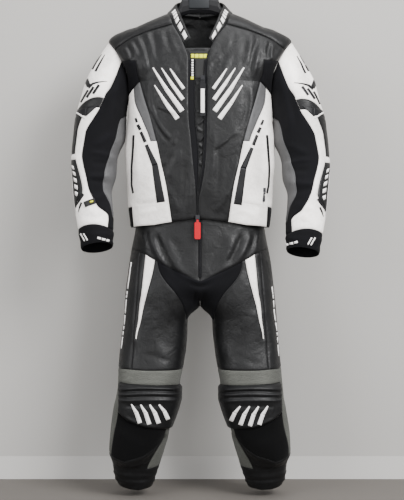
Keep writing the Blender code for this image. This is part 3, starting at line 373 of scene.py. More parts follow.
    ("flap", "front", -8, -600, 10, -612, 3, 4, 2.6),
    ("flap", "front", 8, -622, -8, -640, -3, 4, 2.6),
    ("flap", "front", -8, -652, 8, -664, 3, 4, 2.2),
    ("flap", "front", -14, -344, 20, -352, 4, 6, 2.0),
    ("flap", "front", -20, -372, 18, -366, 4, 6, -2.0),
    ("flap", "front", -16, -420, 18, -434, 4, 6, 2.0),
    # collar: faint draws round the neck
    ("collar", "front", -80, -200, -60, -250, 3, 6, 0.9),
    ("collar", "front", 82, -206, 64, -256, -3, 6, 0.9),
)


def smooth(keys, table, at):
    """Values between a table's rows: cubic between rows, with slopes that never overshoot."""
    step = np.diff(keys)[:, None]
    slope = np.diff(table, axis=0) / step
    before, after = slope[:-1], slope[1:]
    weight_1, weight_2 = 2 * step[1:] + step[:-1], step[1:] + 2 * step[:-1]
    same = before * after > 0
    safe_before, safe_after = np.where(same, before, 1), np.where(same, after, 1)
    mean = (weight_1 + weight_2) / (weight_1 / safe_before + weight_2 / safe_after)
    tangent = np.concatenate([slope[:1], np.where(same, mean, 0), slope[-1:]])
    k = np.clip(np.searchsorted(keys, at, "right") - 1, 0, len(keys) - 2)
    t = ((at - keys[k]) / (keys[k + 1] - keys[k]))[:, None]
    h = step[k]
    return ((2 * t**3 - 3 * t**2 + 1) * table[k] + (t**3 - 2 * t**2 + t) * h * tangent[k]
            + (3 * t**2 - 2 * t**3) * table[k + 1] + (t**3 - t**2) * h * tangent[k + 1])


def rows_at(table, stations, v):
    """The table's values at row coordinates v, in which whole numbers are the table's rows."""
    keys = np.abs(np.concatenate([[0], np.cumsum(np.abs(np.diff(stations)) + 1.0)]))
    return smooth(keys, np.array(table, float), np.interp(v, np.arange(len(keys)), keys))


def oval(angle, squareness):
    """A unit oval's cosine-like and sine-like coordinates, squarer than a circle."""
    shrink = 1 - squareness
    return ((np.cos(angle) - squareness * np.cos(3 * angle)) / shrink,
            (np.sin(angle) + squareness * np.sin(3 * angle)) / shrink)


def oval_angle(share, squareness):
    """The angle whose cosine-like coordinate is share."""
    angles = np.linspace(math.pi, 0, 721)
    return np.interp(share, oval(angles, squareness)[0], angles)


def spread(u, v):
    """Column coordinates for every row: one list for all rows, or already a row of them each."""
    return np.broadcast_to(u, (len(v), np.shape(u)[-1]))


def across(u, values):
    """Straight between the columns of values (rows x columns), at column coordinates u."""
    k = np.clip(np.floor(u).astype(int), 0, values.shape[1] - 2)
    t = u - k
    rows = np.arange(values.shape[0])[:, None]
    return values[rows, k] * (1 - t) + values[rows, k + 1] * t


def armhole(around):
    """Points of the armhole loop at angles around it, 0 at the shoulder tip and 180 at the armpit."""
    c, s = np.cos(np.radians(around)), np.sin(np.radians(around))
    x = (TIP_X + ARMPIT_X) / 2 + (TIP_X - ARMPIT_X) / 2 * c - ARMHOLE_BOW * s**2
    z = (TIP_Z + ARMPIT_Z) / 2 + (TIP_Z - ARMPIT_Z) / 2 * c
    return x, ARMHOLE_HALF_DEPTH * s, z


def torso_rows(v, right):
    """Torso section values at rows v, with the shoulder's roll as a quarter turn."""
    raw = np.array([[0 if x is None else x for x in row] for row in TORSO], float)
    t = rows_at(raw, raw[:, 10], v)
    t = dict(zip(TORSO_COLUMNS, t.T))
    roll = np.clip(v - YOKE, 0, 1)
    turn = (1 - roll) * math.pi / 2
    top, seam = raw[SHOULDER], raw[YOKE]
    for k, name in enumerate(TORSO_COLUMNS):
        if name in ("front", "back"):
            t[name] = np.where(v > YOKE, seam[k] * np.sin(turn), t[name])
        elif name.startswith("z_"):
            t[name] = np.where(v > YOKE, top[k] + (seam[k] - top[k]) * (1 - np.cos(turn)), t[name])
        elif name.startswith("x_"):
            t[name] = np.where(v > YOKE, seam[k] + (top[k] - seam[k]) * roll, t[name])
    rows = np.arange(ARMPIT, SHOULDER + 1)
    around = np.interp(v, rows, [TORSO[k][3] for k in rows])
    arm_x, arm_y, arm_z = armhole(around)
    above = v >= ARMPIT
    t["arm"] = np.where(above, arm_y, 0)
    t["half_width"] = np.where(above, arm_x, t["half_width"])
    t["z_side"] = np.where(above, arm_z, t["z_side"])
    t["x_front"] = t["x_front_right"] if right else t["x_front_left"]
    return t


def torso(v, u, right, behind):
    """One half of the torso's front or back."""
    t = torso_rows(v, right)
    c = SQUARENESS["torso"]
    width, u = t["half_width"], spread(u, v)
    first, depth = ("back", t["back"]) if behind else ("front", t["front"])
    seams = [oval_angle(t["x_" + n] / width, c) for n in (first, "princess", "panel", "elastic")]
    angle = across(u, np.stack([*seams, np.zeros(len(v))], 1))
    z = across(u, np.stack([t["z_" + n] for n in (first, "princess", "panel", "elastic", "side")], 1))
    cosine, sine = oval(angle, c)
    y = t["arm"][:, None] + np.maximum(depth - t["arm"], 0)[:, None] * sine
    y = np.where((v >= SHOULDER)[:, None], 0, y)
    return np.stack([width[:, None] * cosine, y if behind else -y, z], -1)


def torso_front(v, u, right):
    """Front of one torso half. u: 0 front edge, 1 princess, 2 panel, 3 elastic, 4 side or armhole."""
    return torso(v, u, right, False)


def torso_back(v, u, right):
    """Back of one torso half. u: 0 centre back or neckline, 1 to 4 as on the front."""
    return torso(v, u, right, True)


def sleeve(v, u, right):
    """One sleeve. u: 0 outer, 2 inlay, 4 stretch, 5 grey, 6 inside, 7 grey back, 12 outer again."""
    t = dict(zip(SLEEVE_COLUMNS, rows_at(SLEEVE, [row[1] * 0.5 + row[3] * 0.5 for row in SLEEVE], v).T))
    first = np.clip(1 - v, 0, 1)
    outer, inlay, stretch = t["outer"], t["inlay"], t["stretch"]
    back = [t["grey_back"] + (360 + outer - t["grey_back"]) * k / 5 for k in range(6)]
    loop = (282, 294, 307, 333.5, 360)
    columns = [outer, (outer + inlay) / 2, inlay, (inlay + stretch) / 2 * (1 - first) + 66 * first, stretch,
               t["grey"], np.full(len(v), 180.0), back[0]]
    columns += [back[k + 1] * (1 - first) + loop[k] * first for k in range(5)]
    angle = np.radians(across(spread(u, v), np.stack(columns, 1)))
    c, s = np.cos(angle), np.sin(angle)
    t = {name: value[:, None] for name, value in t.items()}
    grow = 1 + (RIGHT_SLEEVE_WIDTH - 1) * np.clip(v / 5, 0, 1)[:, None] if right else 1.0
    drop = RIGHT_SLEEVE_DROP * np.clip(v / CUFF_END, 0, 1)[:, None] ** 0.7 if right else 0.0
    x = (t["x_out"] + t["x_in"]) / 2 + (t["x_out"] - t["x_in"]) / 2 * c * grow + t["bow_x"] * s**2
    z = (t["z_out"] + t["z_in"]) / 2 + (t["z_out"] - t["z_in"]) / 2 * c + t["bow_z"] * s**2 + t["tilt"] * s
    y = t["y"] - t["half_depth"] * s
    return np.stack([x, y, z - drop], -1)


def leg(v, u, right):
    """One leg and its half of the hips. u: 0 centre, 1 crotch, 2, 3 wedge, 4 side, 5 outside, 6 centre back."""
    t = dict(zip(LEG_COLUMNS, rows_at(LEG, [row[15] for row in LEG], v).T))
    c = SQUARENESS["leg"]
    half = t["x_outside"] - t["centre"]
    names = ("x_crotch", "x_wedge_in", "x_wedge_out", "x_side")
    inner = oval_angle(np.clip((t["x_inside"] - t["centre"]) / half, -1, 1), c)
    seams = [oval_angle((t[n] - t["centre"]) / half, c) for n in names]
    angle = across(spread(u, v), np.stack([inner, *seams, np.zeros(len(v)), -inner], 1))
    names = ("z_centre", "z_crotch", "z_wedge_in", "z_wedge_out", "z_side", "z_outside")
    seat = np.interp(v, (YOKE_SEAM - 1, YOKE_SEAM, CROTCH_END - 1), SEAT_RISE) + t["z_centre"]
    z = across(spread(u, v), np.stack([*(t[n] for n in names), seat], 1))
    cosine, sine = oval(angle, c)
    depth = np.where(sine > 0, t["front"][:, None], t["back"][:, None])
    return np.stack([t["centre"][:, None] + half[:, None] * cosine, t["y"][:, None] - depth * sine, z], -1)


def collar(v, u, right):
    """Stand collar from the front end (v 0) round to the centre back (v 6). u: 0 foot, 1 top."""
    rows = np.array(COLLAR_FOOT_ROWS)
    centre = np.array([0.0])
    foot = np.concatenate([torso_front(rows[:4], centre, right), torso_back(rows[4:], centre, right)])[:, 0]
    top = np.array(COLLAR_TOP, float)
    top[:2, 1] += foot[:2, 1]
    pair = smooth(np.arange(7.0), np.concatenate([foot, top], 1), v)
    t = spread(u, v)[:, :, None]
    return pair[:, None, :3] * (1 - t) + pair[:, None, 3:] * t




def opening_strip(depth, left_edge, right_edge):
    """A surface behind the front opening: u runs from its left edge to its right edge."""
    def surface(v, u, right):
        t = torso_rows(v, False)
        left, other = t["x_front_left"], torso_rows(v, True)["x_front_right"]
        start, end = left_edge(-left, other), right_edge(-left, other)
        x = start[:, None] + (end - start)[:, None] * spread(u, v)
        angle = oval_angle(np.abs(x) / t["half_width"][:, None], SQUARENESS["torso"])
        sine = oval(angle, SQUARENESS["torso"])[1]
        y = t["arm"][:, None] + (t["front"] - t["arm"])[:, None] * sine - depth
        return np.stack([x, -y, np.broadcast_to(t["z_front"][:, None], x.shape)], -1)
    return surface


SURFACES = {  # surface: its formula, last row, last column, the sign that turns normals out, its tube
    "torso_front": (torso_front, SHOULDER, 4, 1, "torso"),
    "torso_back": (torso_back, SHOULDER, 4, -1, "torso"),
    "sleeve": (sleeve, CUFF_END, 12, 1, "sleeve"),
    "leg": (leg, ANKLE_HEM, 6, -1, "leg"),
    "collar": (collar, 6, 1, -1, "collar"),
    "tape_left": (opening_strip(TAPE_DEPTH, lambda a, b: a - 8,
                                lambda a, b: np.minimum(a + 20, (a + b) / 2 - 1)),
                  SHOULDER, 1, 1, "strip"),
    "tape_right": (opening_strip(TAPE_DEPTH, lambda a, b: np.maximum(b - 8, (a + b) / 2 + 1),
                                 lambda a, b: b + 8),
                   SHOULDER, 1, 1, "strip"),
    "flap": (opening_strip(FLAP_DEPTH, lambda a, b: a - 14, lambda a, b: b + 14), SHOULDER, 1, 1, "strip"),
    "label": (opening_strip(LABEL_DEPTH, lambda a, b: a + 6, lambda a, b: b - 4), SHOULDER, 1, 1, "strip"),
}
SEAM_ROWS = {"torso": (0, 1, 4, 7, 9, 11, 12), "sleeve": (0, 3, 4, 6, 7, 10, 11, 12, 13),
             "leg": (0, 2, 5, 6, 7, 8, 10, 11, 12, 14), "collar": (0, 6), "strip": ()}
SEAM_COLUMNS = {"torso": (0, 1, 2, 3, 4), "sleeve": (0, 2, 4, 5, 7, 8, 12), "leg": (0, 1, 2, 3, 4, 5, 6),
                "collar": (0, 1), "strip": (0, 1)}


def place(name, side, v, u):
    """Points and outward unit normals of a surface at row and column coordinates of any one shape.

    The normal is the cross product of the surface's two slopes, taken over a thousandth of a cell.
    """
    surface, last_v, last_u, sign, _ = SURFACES[name]
    v, u = np.broadcast_arrays(np.asarray(v, float), np.asarray(u, float))
    shape, e = v.shape, 1e-3
    v, u = v.ravel(), u.ravel()[:, None]
    right = side > 0
    points = surface(v, u, right)[:, 0]
    dv = surface(np.minimum(v + e, last_v), u, right) - surface(np.maximum(v - e, 0), u, right)
    du = surface(v, np.minimum(u + e, last_u), right) - surface(v, np.maximum(u - e, 0), right)
    n = np.cross(du, dv)[:, 0] * sign
    n /= np.maximum(np.linalg.norm(n, axis=-1, keepdims=True), 1e-9)
    mirror = np.array([1.0 if name in ("tape_left", "tape_right", "flap", "label") else side, 1, 1])
    return (points * mirror).reshape(*shape, 3), (n * mirror).reshape(*shape, 3)


def stations(first, last, lengths, seams, cell):
    """Coordinates from first to last, about a cell apart, with closer ones beside each seam."""
    out = [[float(last)]]
    for k in range(math.floor(first), math.ceil(last)):
        count = max(int(round(lengths[k] / cell)), 1)
        at = list(np.linspace(0, 1, count + 1)[:-1])
        near = [share for share in (1.3 / lengths[k], 3.2 / lengths[k]) if share < 0.4]
        at += near if k in seams else []
        at += [1 - share for share in near] if k + 1 in seams else []
        out.append(k + np.array(at))
    return np.unique(np.round(np.clip(np.concatenate(out), first, last), 6))


def tube_lengths(name):
    """Mean distances between a surface's whole rows and between its whole columns."""
    surface, last_v, last_u, _, tube = SURFACES[name]
    if tube == "torso":
        grids = [torso_front(np.arange(last_v + 1.0), np.arange(5.0), False),
                 torso_back(np.arange(last_v + 1.0), np.arange(5.0), False)]
    else:
        grids = [surface(np.arange(last_v + 1.0), np.arange(last_u + 1.0), False)]
    down = np.max([np.linalg.norm(np.diff(g, axis=0), axis=-1).mean(1) for g in grids], axis=0)
    over = np.max([np.linalg.norm(np.diff(g, axis=1), axis=-1).mean(0) for g in grids], axis=0)
    return np.maximum(down, 1.0), np.maximum(over, 1.0)


def grid_faces(rows, columns, first=0):
    """Four-cornered faces of a grid whose points are numbered row by row from first."""
    index = first + np.arange(rows * columns).reshape(rows, columns)
    return np.stack([index[:-1, :-1], index[:-1, 1:], index[1:, 1:], index[1:, :-1]], -1).reshape(-1, 4)


def join_blocks(blocks, cell):
    """One grid mesh from blocks (surface, side, rows, columns), joined where their points are the same.

    Returns points and faces.
    """
    points, faces, count = [], [], 0
    for name, side, (top, foot), (start, end) in blocks:
        down, over = tube_lengths(name)
        tube = SURFACES[name][4]
        v = stations(top, foot, down, SEAM_ROWS[tube], cell)
        u = stations(start, end, over, SEAM_COLUMNS[tube], cell)
        grid, normal = place(name, side, v[:, None], u[None, :])
        face = grid_faces(len(v), len(u), count)
        a, b, c = grid[:-1, :-1], grid[:-1, 1:], grid[1:, :-1]
        if (np.cross(b - a, c - a) * normal[:-1, :-1]).sum() < 0:
            face = face[:, ::-1]
        points.append(grid.reshape(-1, 3))
        faces.append(face)
        count += grid.shape[0] * grid.shape[1]
    points, faces = np.concatenate(points), np.concatenate(faces)
    _, kept, where = np.unique(np.round(points / 0.02), axis=0, return_index=True, return_inverse=True)
    return points[kept], where.ravel()[faces]


def point_normals(points, faces):
    """Unit normals: at each point, the sum of the normals of the faces round it."""
    across_a = points[faces[:, 2]] - points[faces[:, 0]]
    across_b = points[faces[:, 3]] - points[faces[:, 1]]
    way = np.cross(across_a, across_b)
    total = np.zeros_like(points)
    for k in range(4):
        np.add.at(total, faces[:, k], way)
    return total / np.maximum(np.linalg.norm(total, axis=-1, keepdims=True), 1e-9)


def outline(points, faces):
    """The mesh's open edges, and how far each of its points is from the nearest of them."""
    edges = np.concatenate([faces[:, [k, (k + 1) % 4]] for k in range(4)])
    edges = edges[edges[:, 0] != edges[:, 1]]
    both, first, count = np.unique(np.sort(edges, axis=1), axis=0, return_index=True, return_counts=True)
    rim = both[count == 1]
    places = np.concatenate([points[rim[:, 0]], (points[rim[:, 0]] + points[rim[:, 1]]) / 2])
    size = (places**2).sum(1)
    near = [np.sqrt(np.maximum((part**2).sum(1)[:, None] + size - 2 * part @ places.T, 0)).min(1)
            for part in np.array_split(points, max(len(points) // 4000, 1))]
    return rim, both, np.concatenate(near)


def pull_back(points, rim, edges, gap):
    """Move the open edge's points inwards, towards the points that they share an edge with."""
    on_rim = np.zeros(len(points), bool)
    on_rim[rim.ravel()] = True
    inner = edges[on_rim[edges[:, 0]] != on_rim[edges[:, 1]]]
    start = np.where(on_rim[inner[:, 0]], inner[:, 0], inner[:, 1])
    way = points[inner.sum(1) - start] - points[start]
    total = np.zeros_like(points)
    np.add.at(total, start, way)
    total /= np.maximum(np.linalg.norm(total, axis=-1, keepdims=True), 1e-9)
    return points + total * gap


def ramp(x):
    """0 below 0, 1 above 1 and a smooth rise between."""
    x = np.clip(x, 0, 1)
    return x * x * (3 - 2 * x)


def creases(points, normal, part):
    """How far the cloth stands out of its tube at these points, in millimetres.

    Each crease is an arc seen from the front, or a level ring. Across it the cloth rises or dips as a
    bell curve with a faint shoulder the other way, and along it the crease fades out at its ends.
    A slow swell, a sum of sines of the place, keeps the rest from being a perfect tube.
    """
    x, y, z = points.T
    out = np.zeros(len(points))
    for kind, face, x0, z0, x1, z1, bow, width, depth in CREASES:
        if kind != part:
            continue
        if face == "ring":
            t = (x - x0) / (x1 - x0)
            away = z - (z0 + (z1 - z0) * t + bow * 4 * t * (1 - t))
            fade = ramp((t + 0.02) / 0.15) * ramp((1.02 - t) / 0.15)
        else:
            k = np.linspace(0, 1, 9)
            dx, dz = x1 - x0, z1 - z0
            length = math.hypot(dx, dz)
            path_x = x0 + dx * k - dz / length * bow * 4 * k * (1 - k)
            path_z = z0 + dz * k + dx / length * bow * 4 * k * (1 - k)
            best, t = np.full(len(points), 1e9), np.zeros(len(points))
            for n in range(8):
                ex, ez = path_x[n + 1] - path_x[n], path_z[n + 1] - path_z[n]
                share = np.clip(((x - path_x[n]) * ex + (z - path_z[n]) * ez) / (ex**2 + ez**2), 0, 1)
                gap = np.hypot(x - path_x[n] - share * ex, z - path_z[n] - share * ez)
                closer = gap < best
                best, t = np.where(closer, gap, best), np.where(closer, (n + share) / 8, t)
            away = best
            facing = -normal[:, 1] if face == "front" else normal[:, 1]
            fade = ramp((t + 0.03) / 0.25) * ramp((1.03 - t) / 0.3) * ramp((facing - 0.02) / 0.35)
        bell = np.exp(-(away / width) ** 2) - 0.22 * np.exp(-(away / (2.1 * width)) ** 2)
        out += depth * CREASE_GAIN * bell * fade
    swell = (np.sin(x / 31 + z / 47 + 1.3) * np.sin(z / 58 - y / 40)
             + 0.6 * np.sin(x / 17 - z / 29 + y / 23 + 0.4)
             + 0.4 * np.sin(z / 13 + x / 21) * np.sin(y / 19 + x / 33))
    return out + SWELL[part] * swell


def new_object(name, points, faces, finish, floats=None):
    """A smooth mesh object from arrays in millimetres, with its finish and its number attributes."""
    mesh = bpy.data.meshes.new(name)
    faces = np.asarray(faces)
    if faces.shape[1] == 4:
        same = faces == np.roll(faces, -1, axis=1)
        whole = faces[~same.any(1)]
        bent = faces[same.any(1)]
        keep = ~same[same.any(1)]
        bent = bent[keep.sum(1) == 3][keep[keep.sum(1) == 3]].reshape(-1, 3)
    else:
        whole, bent = faces[:0].reshape(0, 4), faces
    corners = np.concatenate([whole.ravel(), bent.ravel()]).astype(np.int32)
    sizes = np.concatenate([np.full(len(whole), 4), np.full(len(bent), 3)])
    mesh.vertices.add(len(points))
    mesh.vertices.foreach_set("co", (np.asarray(points) * MM).astype(np.float32).ravel())
    mesh.loops.add(len(corners))
    mesh.loops.foreach_set("vertex_index", corners)
    mesh.polygons.add(len(sizes))
    mesh.polygons.foreach_set("loop_start", np.concatenate([[0], np.cumsum(sizes)[:-1]]).astype(np.int32))
    mesh.update(calc_edges=True)
    for key, values in (floats or {}).items():
        layer = mesh.attributes.new(key, "FLOAT", "POINT")
        layer.data.foreach_set("value", np.asarray(values, np.float32))
    mesh.shade_smooth()
    mesh.materials.append(finish_of(finish))
    made = bpy.data.objects.new(name, mesh)
    bpy.context.scene.collection.objects.link(made)
    return made


def give_wall(made, wall):
    """Thicken a sheet inwards."""
    modifier = made.modifiers.new("Wall", "SOLIDIFY")
    modifier.thickness = wall * MM
    modifier.offset = -1.0


def sheet_area(points, faces):
    """Area of a mesh, in square metres."""
    a, b = points[faces[:, 2]] - points[faces[:, 0]], points[faces[:, 3]] - points[faces[:, 1]]
    return np.linalg.norm(np.cross(a, b), axis=-1).sum() / 2 * MM * MM


def cloth(name, node, finish, part, blocks, wall=LEATHER, lift=0.0, dip=None, cell=None):
    """A cloth panel in place of a CAD node: joined grids, moved out by creases and in at the seams.

    The seam's dip is a bell of the distance to the panel's edge. A lifted panel rises from its edge as
    a quarter wave. The panel's own area before it is creased is worked out, but not stated or kept.
    """
    sizes = bpy.context.scene.suit_sizes
    cell = cell or sizes.cell / MM
    dip = sizes.seam_dip / MM if dip is None else dip
    points, faces = join_blocks(blocks, cell)
    normal = point_normals(points, faces)
    rim, edges, far = outline(points, faces)
    out = creases(points, normal, part) * sizes.crease
    rise = lift * ramp(far / 11 + 0.1)
    seam = -dip * np.exp(-(far / 3.0) ** 2) + 0.35 * np.exp(-((far - 7) / 3.5) ** 2)
    made_points = pull_back(points, rim, edges, 0.15) + normal * (out + rise + seam)[:, None]
    # The fold and seam attributes drive the finishes' painted highlight and shade on the creases and their
    # painted shade along the seams.
    made = new_object(name, made_points, faces, finish, {"seam": np.minimum(far, 30), "fold": out})
    give_wall(made, wall)
    area = sheet_area(points, faces)
    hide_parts(node)
    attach(made, "root")
    return made


FINISHES = {  # name: (kind, red, green, blue, roughness, grain cells per metre, grain height in mm)
    "black_leather": ("leather", 0.0045, 0.0046, 0.005, 0.42, 620, 0.22),
    "white_leather": ("leather", 0.88, 0.845, 0.81, 0.46, 620, 0.14),
    "grey_leather": ("leather", 0.07, 0.07, 0.072, 0.5, 620, 0.2),
    "black_stretch": ("weave", 0.0022, 0.0022, 0.0031, 0.88, 900, 0.3),
    "grey_stretch": ("ribbed", 0.088, 0.09, 0.081, 0.85, 170, 0.9),
    "velour": ("velour", 0.0012, 0.0012, 0.0014, 1.0, 1300, 0.5),
    "zip_tape": ("weave", 0.0035, 0.0035, 0.0045, 0.8, 1100, 0.25),
    "red_rubber": ("plain", 0.40, 0.0009, 0.008, 0.55, 300, 0.05),
    "pull_plastic": ("plain", 0.005, 0.005, 0.006, 0.38, 300, 0.04),
    "label": ("weave", 0.60, 0.61, 0.018, 0.7, 1500, 0.15),
    "hanger_plastic": ("plain", 0.004, 0.004, 0.005, 0.5, 260, 0.05),
    "hanger_grey": ("plain", 0.011, 0.0125, 0.0145, 0.5, 260, 0.05),
    "metal": ("metal", 0.035, 0.035, 0.038, 0.34, 400, 0.02),
    "white_print": ("plain", 0.84, 0.82, 0.80, 0.4, 500, 0.04),
    "black_print": ("plain", 0.004, 0.004, 0.005, 0.42, 500, 0.04),
    "grey_tab": ("weave", 0.018, 0.018, 0.018, 0.7, 1300, 0.15),
    "black_thread": ("plain", 0.010, 0.010, 0.011, 0.6, 900, 0.05),
    "white_thread": ("plain", 0.52, 0.50, 0.48, 0.6, 900, 0.05),
}


def node(tree, kind, settings=(), **inputs):
    """A shader node: its settings by name, then its inputs, each from a socket or a plain value."""
    made = tree.nodes.new(kind)
    for key, value in dict(settings).items():
        setattr(made, key, value)
    for key, value in inputs.items():
        numbered = key[0] == "i" and key[1:].isdigit()
        socket = made.inputs[int(key[1:]) if numbered else key.replace("_", " ")]
        if isinstance(value, bpy.types.NodeSocket):
            tree.links.new(value, socket)
        else:
            socket.default_value = value
    return made


def scaled(tree, value, low, high, new_low, new_high):
    """A value moved from one range to another and held inside it."""
    return node(tree, "ShaderNodeMapRange", i0=value, i1=low, i2=high, i3=new_low, i4=new_high).outputs[0]


def product(tree, one, other):
    """Two values multiplied."""
    return node(tree, "ShaderNodeMath", {"operation": "MULTIPLY"}, i0=one, i1=other).outputs[0]


def finish_of(name):
    """The material of one finish, with its grain, wear and weave made from noise over the object. Finishes other
    than plain and metal also get a painted highlight on the creases' ridges and painted shade in their troughs,
    and leather gets painted shade along its seams.
    """
    found = bpy.data.materials.get("suit_" + name)
    if found:
        return found
    kind, *colour, rough, cells, height = FINISHES[name]
    sizes = bpy.context.scene.suit_colours
    colour = list(getattr(sizes, name, colour))
    made = bpy.data.materials.new("suit_" + name)
    made.use_nodes = True
    made.diffuse_color = (*colour, 1)
    tree = made.node_tree
    shader = tree.nodes["Principled BSDF"]
    shader.inputs["Base Color"].default_value = (*colour, 1)
    shader.inputs["Roughness"].default_value = rough
    shader.inputs["Metallic"].default_value = 1.0 if kind == "metal" else 0.0
    place_of = node(tree, "ShaderNodeTexCoord").outputs["Object"]
    fine = node(tree, "ShaderNodeTexNoise", i0=place_of, Scale=float(cells), Detail=3.0,
                Roughness=0.6).outputs[0]
    slow = node(tree, "ShaderNodeTexNoise", i0=place_of, Scale=9.0, Detail=4.0, Roughness=0.6).outputs[0]
    if kind in ("plain", "metal"):
        shader.inputs["Specular IOR Level"].default_value = 0.22
        bump = node(tree, "ShaderNodeBump", Strength=0.5, Distance=height * MM, Height=fine)
        tree.links.new(scaled(tree, slow, 0.3, 0.7, rough - 0.05, rough + 0.08), shader.inputs["Roughness"])
        tree.links.new(bump.outputs[0], shader.inputs["Normal"])
        return made
    fold = node(tree, "ShaderNodeAttribute", {"attribute_name": "fold"}).outputs["Fac"]
    seam = node(tree, "ShaderNodeAttribute", {"attribute_name": "seam"}).outputs["Fac"]
    # Painted highlight and shade: the colour is lifted on the creases' ridges and darkened in their troughs by
    # the fold height, on top of a slow random tone.
    tone_and_shade = product(tree, scaled(tree, slow, 0.25, 0.75, 0.82, 1.2), scaled(tree, fold, -3.5, 3.5, 0.8, 1.24))
    if kind == "leather":
        pebble = node(tree, "ShaderNodeTexVoronoi", i0=place_of, Scale=float(cells), Randomness=1.0).outputs[0]
        wrinkle = node(tree, "ShaderNodeTexNoise", i0=place_of, Scale=85.0, Detail=6.0, Roughness=0.62,
                       Distortion=0.7).outputs[0]
        drawn = node(tree, "ShaderNodeTexNoise", i0=place_of, Scale=26.0, Detail=3.0, Distortion=1.1).outputs[0]
        tone_and_shade = product(tree, tone_and_shade, scaled(tree, wrinkle, 0.3, 0.7, 0.9, 1.12))
        # Painted shade: the leather is darkened within 3 mm of its panel's edge, in the groove where it dips into
        # the seam.
        tone_and_shade = product(tree, tone_and_shade, scaled(tree, seam, 0.0, 3.0, 0.72, 1.0))
        bump = node(tree, "ShaderNodeBump", {"invert": True}, Strength=0.35, Distance=height * MM,
                    Height=pebble)
        bump = node(tree, "ShaderNodeBump", Strength=0.6, Distance=1.2 * MM, Height=wrinkle,
                    Normal=bump.outputs[0])
        bump = node(tree, "ShaderNodeBump", Strength=0.55, Distance=3.2 * MM, Height=drawn,
                    Normal=bump.outputs[0])
        worn = scaled(tree, wrinkle, 0.3, 0.7, rough - 0.09, rough + 0.14)
        tree.links.new(worn, shader.inputs["Roughness"])
        shader.inputs["Specular IOR Level"].default_value = 0.24
    elif kind == "ribbed":
        rib = node(tree, "ShaderNodeTexWave", {"wave_type": "BANDS", "bands_direction": "Z"}, i0=place_of,
                   Scale=88.0, Distortion=4.2, Detail=2.0, Detail_Scale=1.6, Detail_Roughness=0.6).outputs[1]
        tone_and_shade = product(tree, tone_and_shade, scaled(tree, rib, 0.0, 1.0, 0.62, 1.16))
        bump = node(tree, "ShaderNodeBump", Strength=0.8, Distance=height * MM, Height=rib)
        bump = node(tree, "ShaderNodeBump", Strength=0.5, Distance=0.2 * MM, Height=fine,
                    Normal=bump.outputs[0])
    else:
        weft = node(tree, "ShaderNodeTexWave", {"wave_type": "BANDS", "bands_direction": "DIAGONAL"}, i0=place_of,
                    Scale=cells / 3.2, Distortion=0.6).outputs[1]
        bump = node(tree, "ShaderNodeBump", Strength=0.6, Distance=height * MM, Height=fine)
        bump = node(tree, "ShaderNodeBump", Strength=0.25, Distance=height * MM, Height=weft,
                    Normal=bump.outputs[0])
    if kind != "leather":
        shader.inputs["Sheen Weight"].default_value = {"velour": 0.02, "weave": 0.012, "ribbed": 0.05}[kind]
        shader.inputs["Sheen Roughness"].default_value = 0.5
        shader.inputs["Specular IOR Level"].default_value = 0.14
    shade = node(tree, "ShaderNodeMix", {"data_type": "RGBA", "blend_type": "MULTIPLY"}, i0=1.0)
    shade.inputs[6].default_value = (*colour, 1)
    tree.links.new(tone_and_shade, shade.inputs[7])
    tree.links.new(shade.outputs[2], shader.inputs["Base Color"])
    tree.links.new(bump.outputs[0], shader.inputs["Normal"])
    return made


def find(name, side, x, z):
    """Row and column coordinates of the front points of a surface that are seen at x and z.

    Starts at the nearest point of a coarse grid, then takes steps of the error over the two slopes.
    """
    _, last_v, last_u = SURFACES[name][:3]
    grid_v, grid_u = np.meshgrid(np.linspace(0, last_v, last_v * 6 + 1), np.linspace(0, last_u, last_u * 8 + 1),
                                 indexing="ij")
    points, normal = place(name, side, grid_v, grid_u)
    front = normal[..., 1] < -0.05
    coarse = points[front][:, [0, 2]]
    target = np.stack([np.ravel(x), np.ravel(z)], -1)
    near = ((target[:, None] - coarse[None]) ** 2).sum(-1).argmin(1)
    v, u = grid_v[front][near], grid_u[front][near]
    e = 1e-3
    for _ in range(10):
        here = place(name, side, v, u)[0][:, [0, 2]]
        dv = (place(name, side, v + e, u)[0][:, [0, 2]] - here) / e
        du = (place(name, side, v, u + e)[0][:, [0, 2]] - here) / e
        cross = dv[:, 0] * du[:, 1] - dv[:, 1] * du[:, 0]
        cross = np.where(np.abs(cross) < 1e-6, 1e-6, cross)
        off = target - here
        v = np.clip(v + np.clip((off[:, 0] * du[:, 1] - off[:, 1] * du[:, 0]) / cross, -0.3, 0.3), 0, last_v - e)
        u = np.clip(u + np.clip((dv[:, 0] * off[:, 1] - dv[:, 1] * off[:, 0]) / cross, -0.3, 0.3), 0, last_u - e)
    return v.reshape(np.shape(x)), u.reshape(np.shape(x))


def on_cloth(name, side, part, v, u, lift):
    """Points that stand off the creased cloth by lift, and the normals there."""
    points, normal = place(name, side, v, u)
    out = creases(points.reshape(-1, 3), normal.reshape(-1, 3), part).reshape(points.shape[:-1])
    out = out * bpy.context.scene.suit_sizes.crease
    return points + normal * (out + lift)[..., None], normal


def quad_grid(corners, cell):
    """A grid over a four-cornered shape, by straight steps between its corners."""
    a, b, c, d = np.array(corners, float)
    over = max(int(np.linalg.norm(b - a) / cell), int(np.linalg.norm(c - d) / cell), 1)
    down = max(int(np.linalg.norm(d - a) / cell), int(np.linalg.norm(c - b) / cell), 1)
    s, t = np.linspace(0, 1, over + 1)[None, :, None], np.linspace(0, 1, down + 1)[:, None, None]
    return (a * (1 - s) + b * s) * (1 - t) + (d * (1 - s) + c * s) * t


def stroke(path, widths):
    """Four-cornered shapes along a path, as wide at each of its points as widths says."""
    path = np.array(path, float)
    way = np.gradient(path, axis=0)
    way /= np.linalg.norm(way, axis=1, keepdims=True)
    aside = np.stack([-way[:, 1], way[:, 0]], 1) * np.array(widths, float)[:, None] / 2
    left, right = path + aside, path - aside
    return [(left[k], right[k], right[k + 1], left[k + 1]) for k in range(len(path) - 1)]


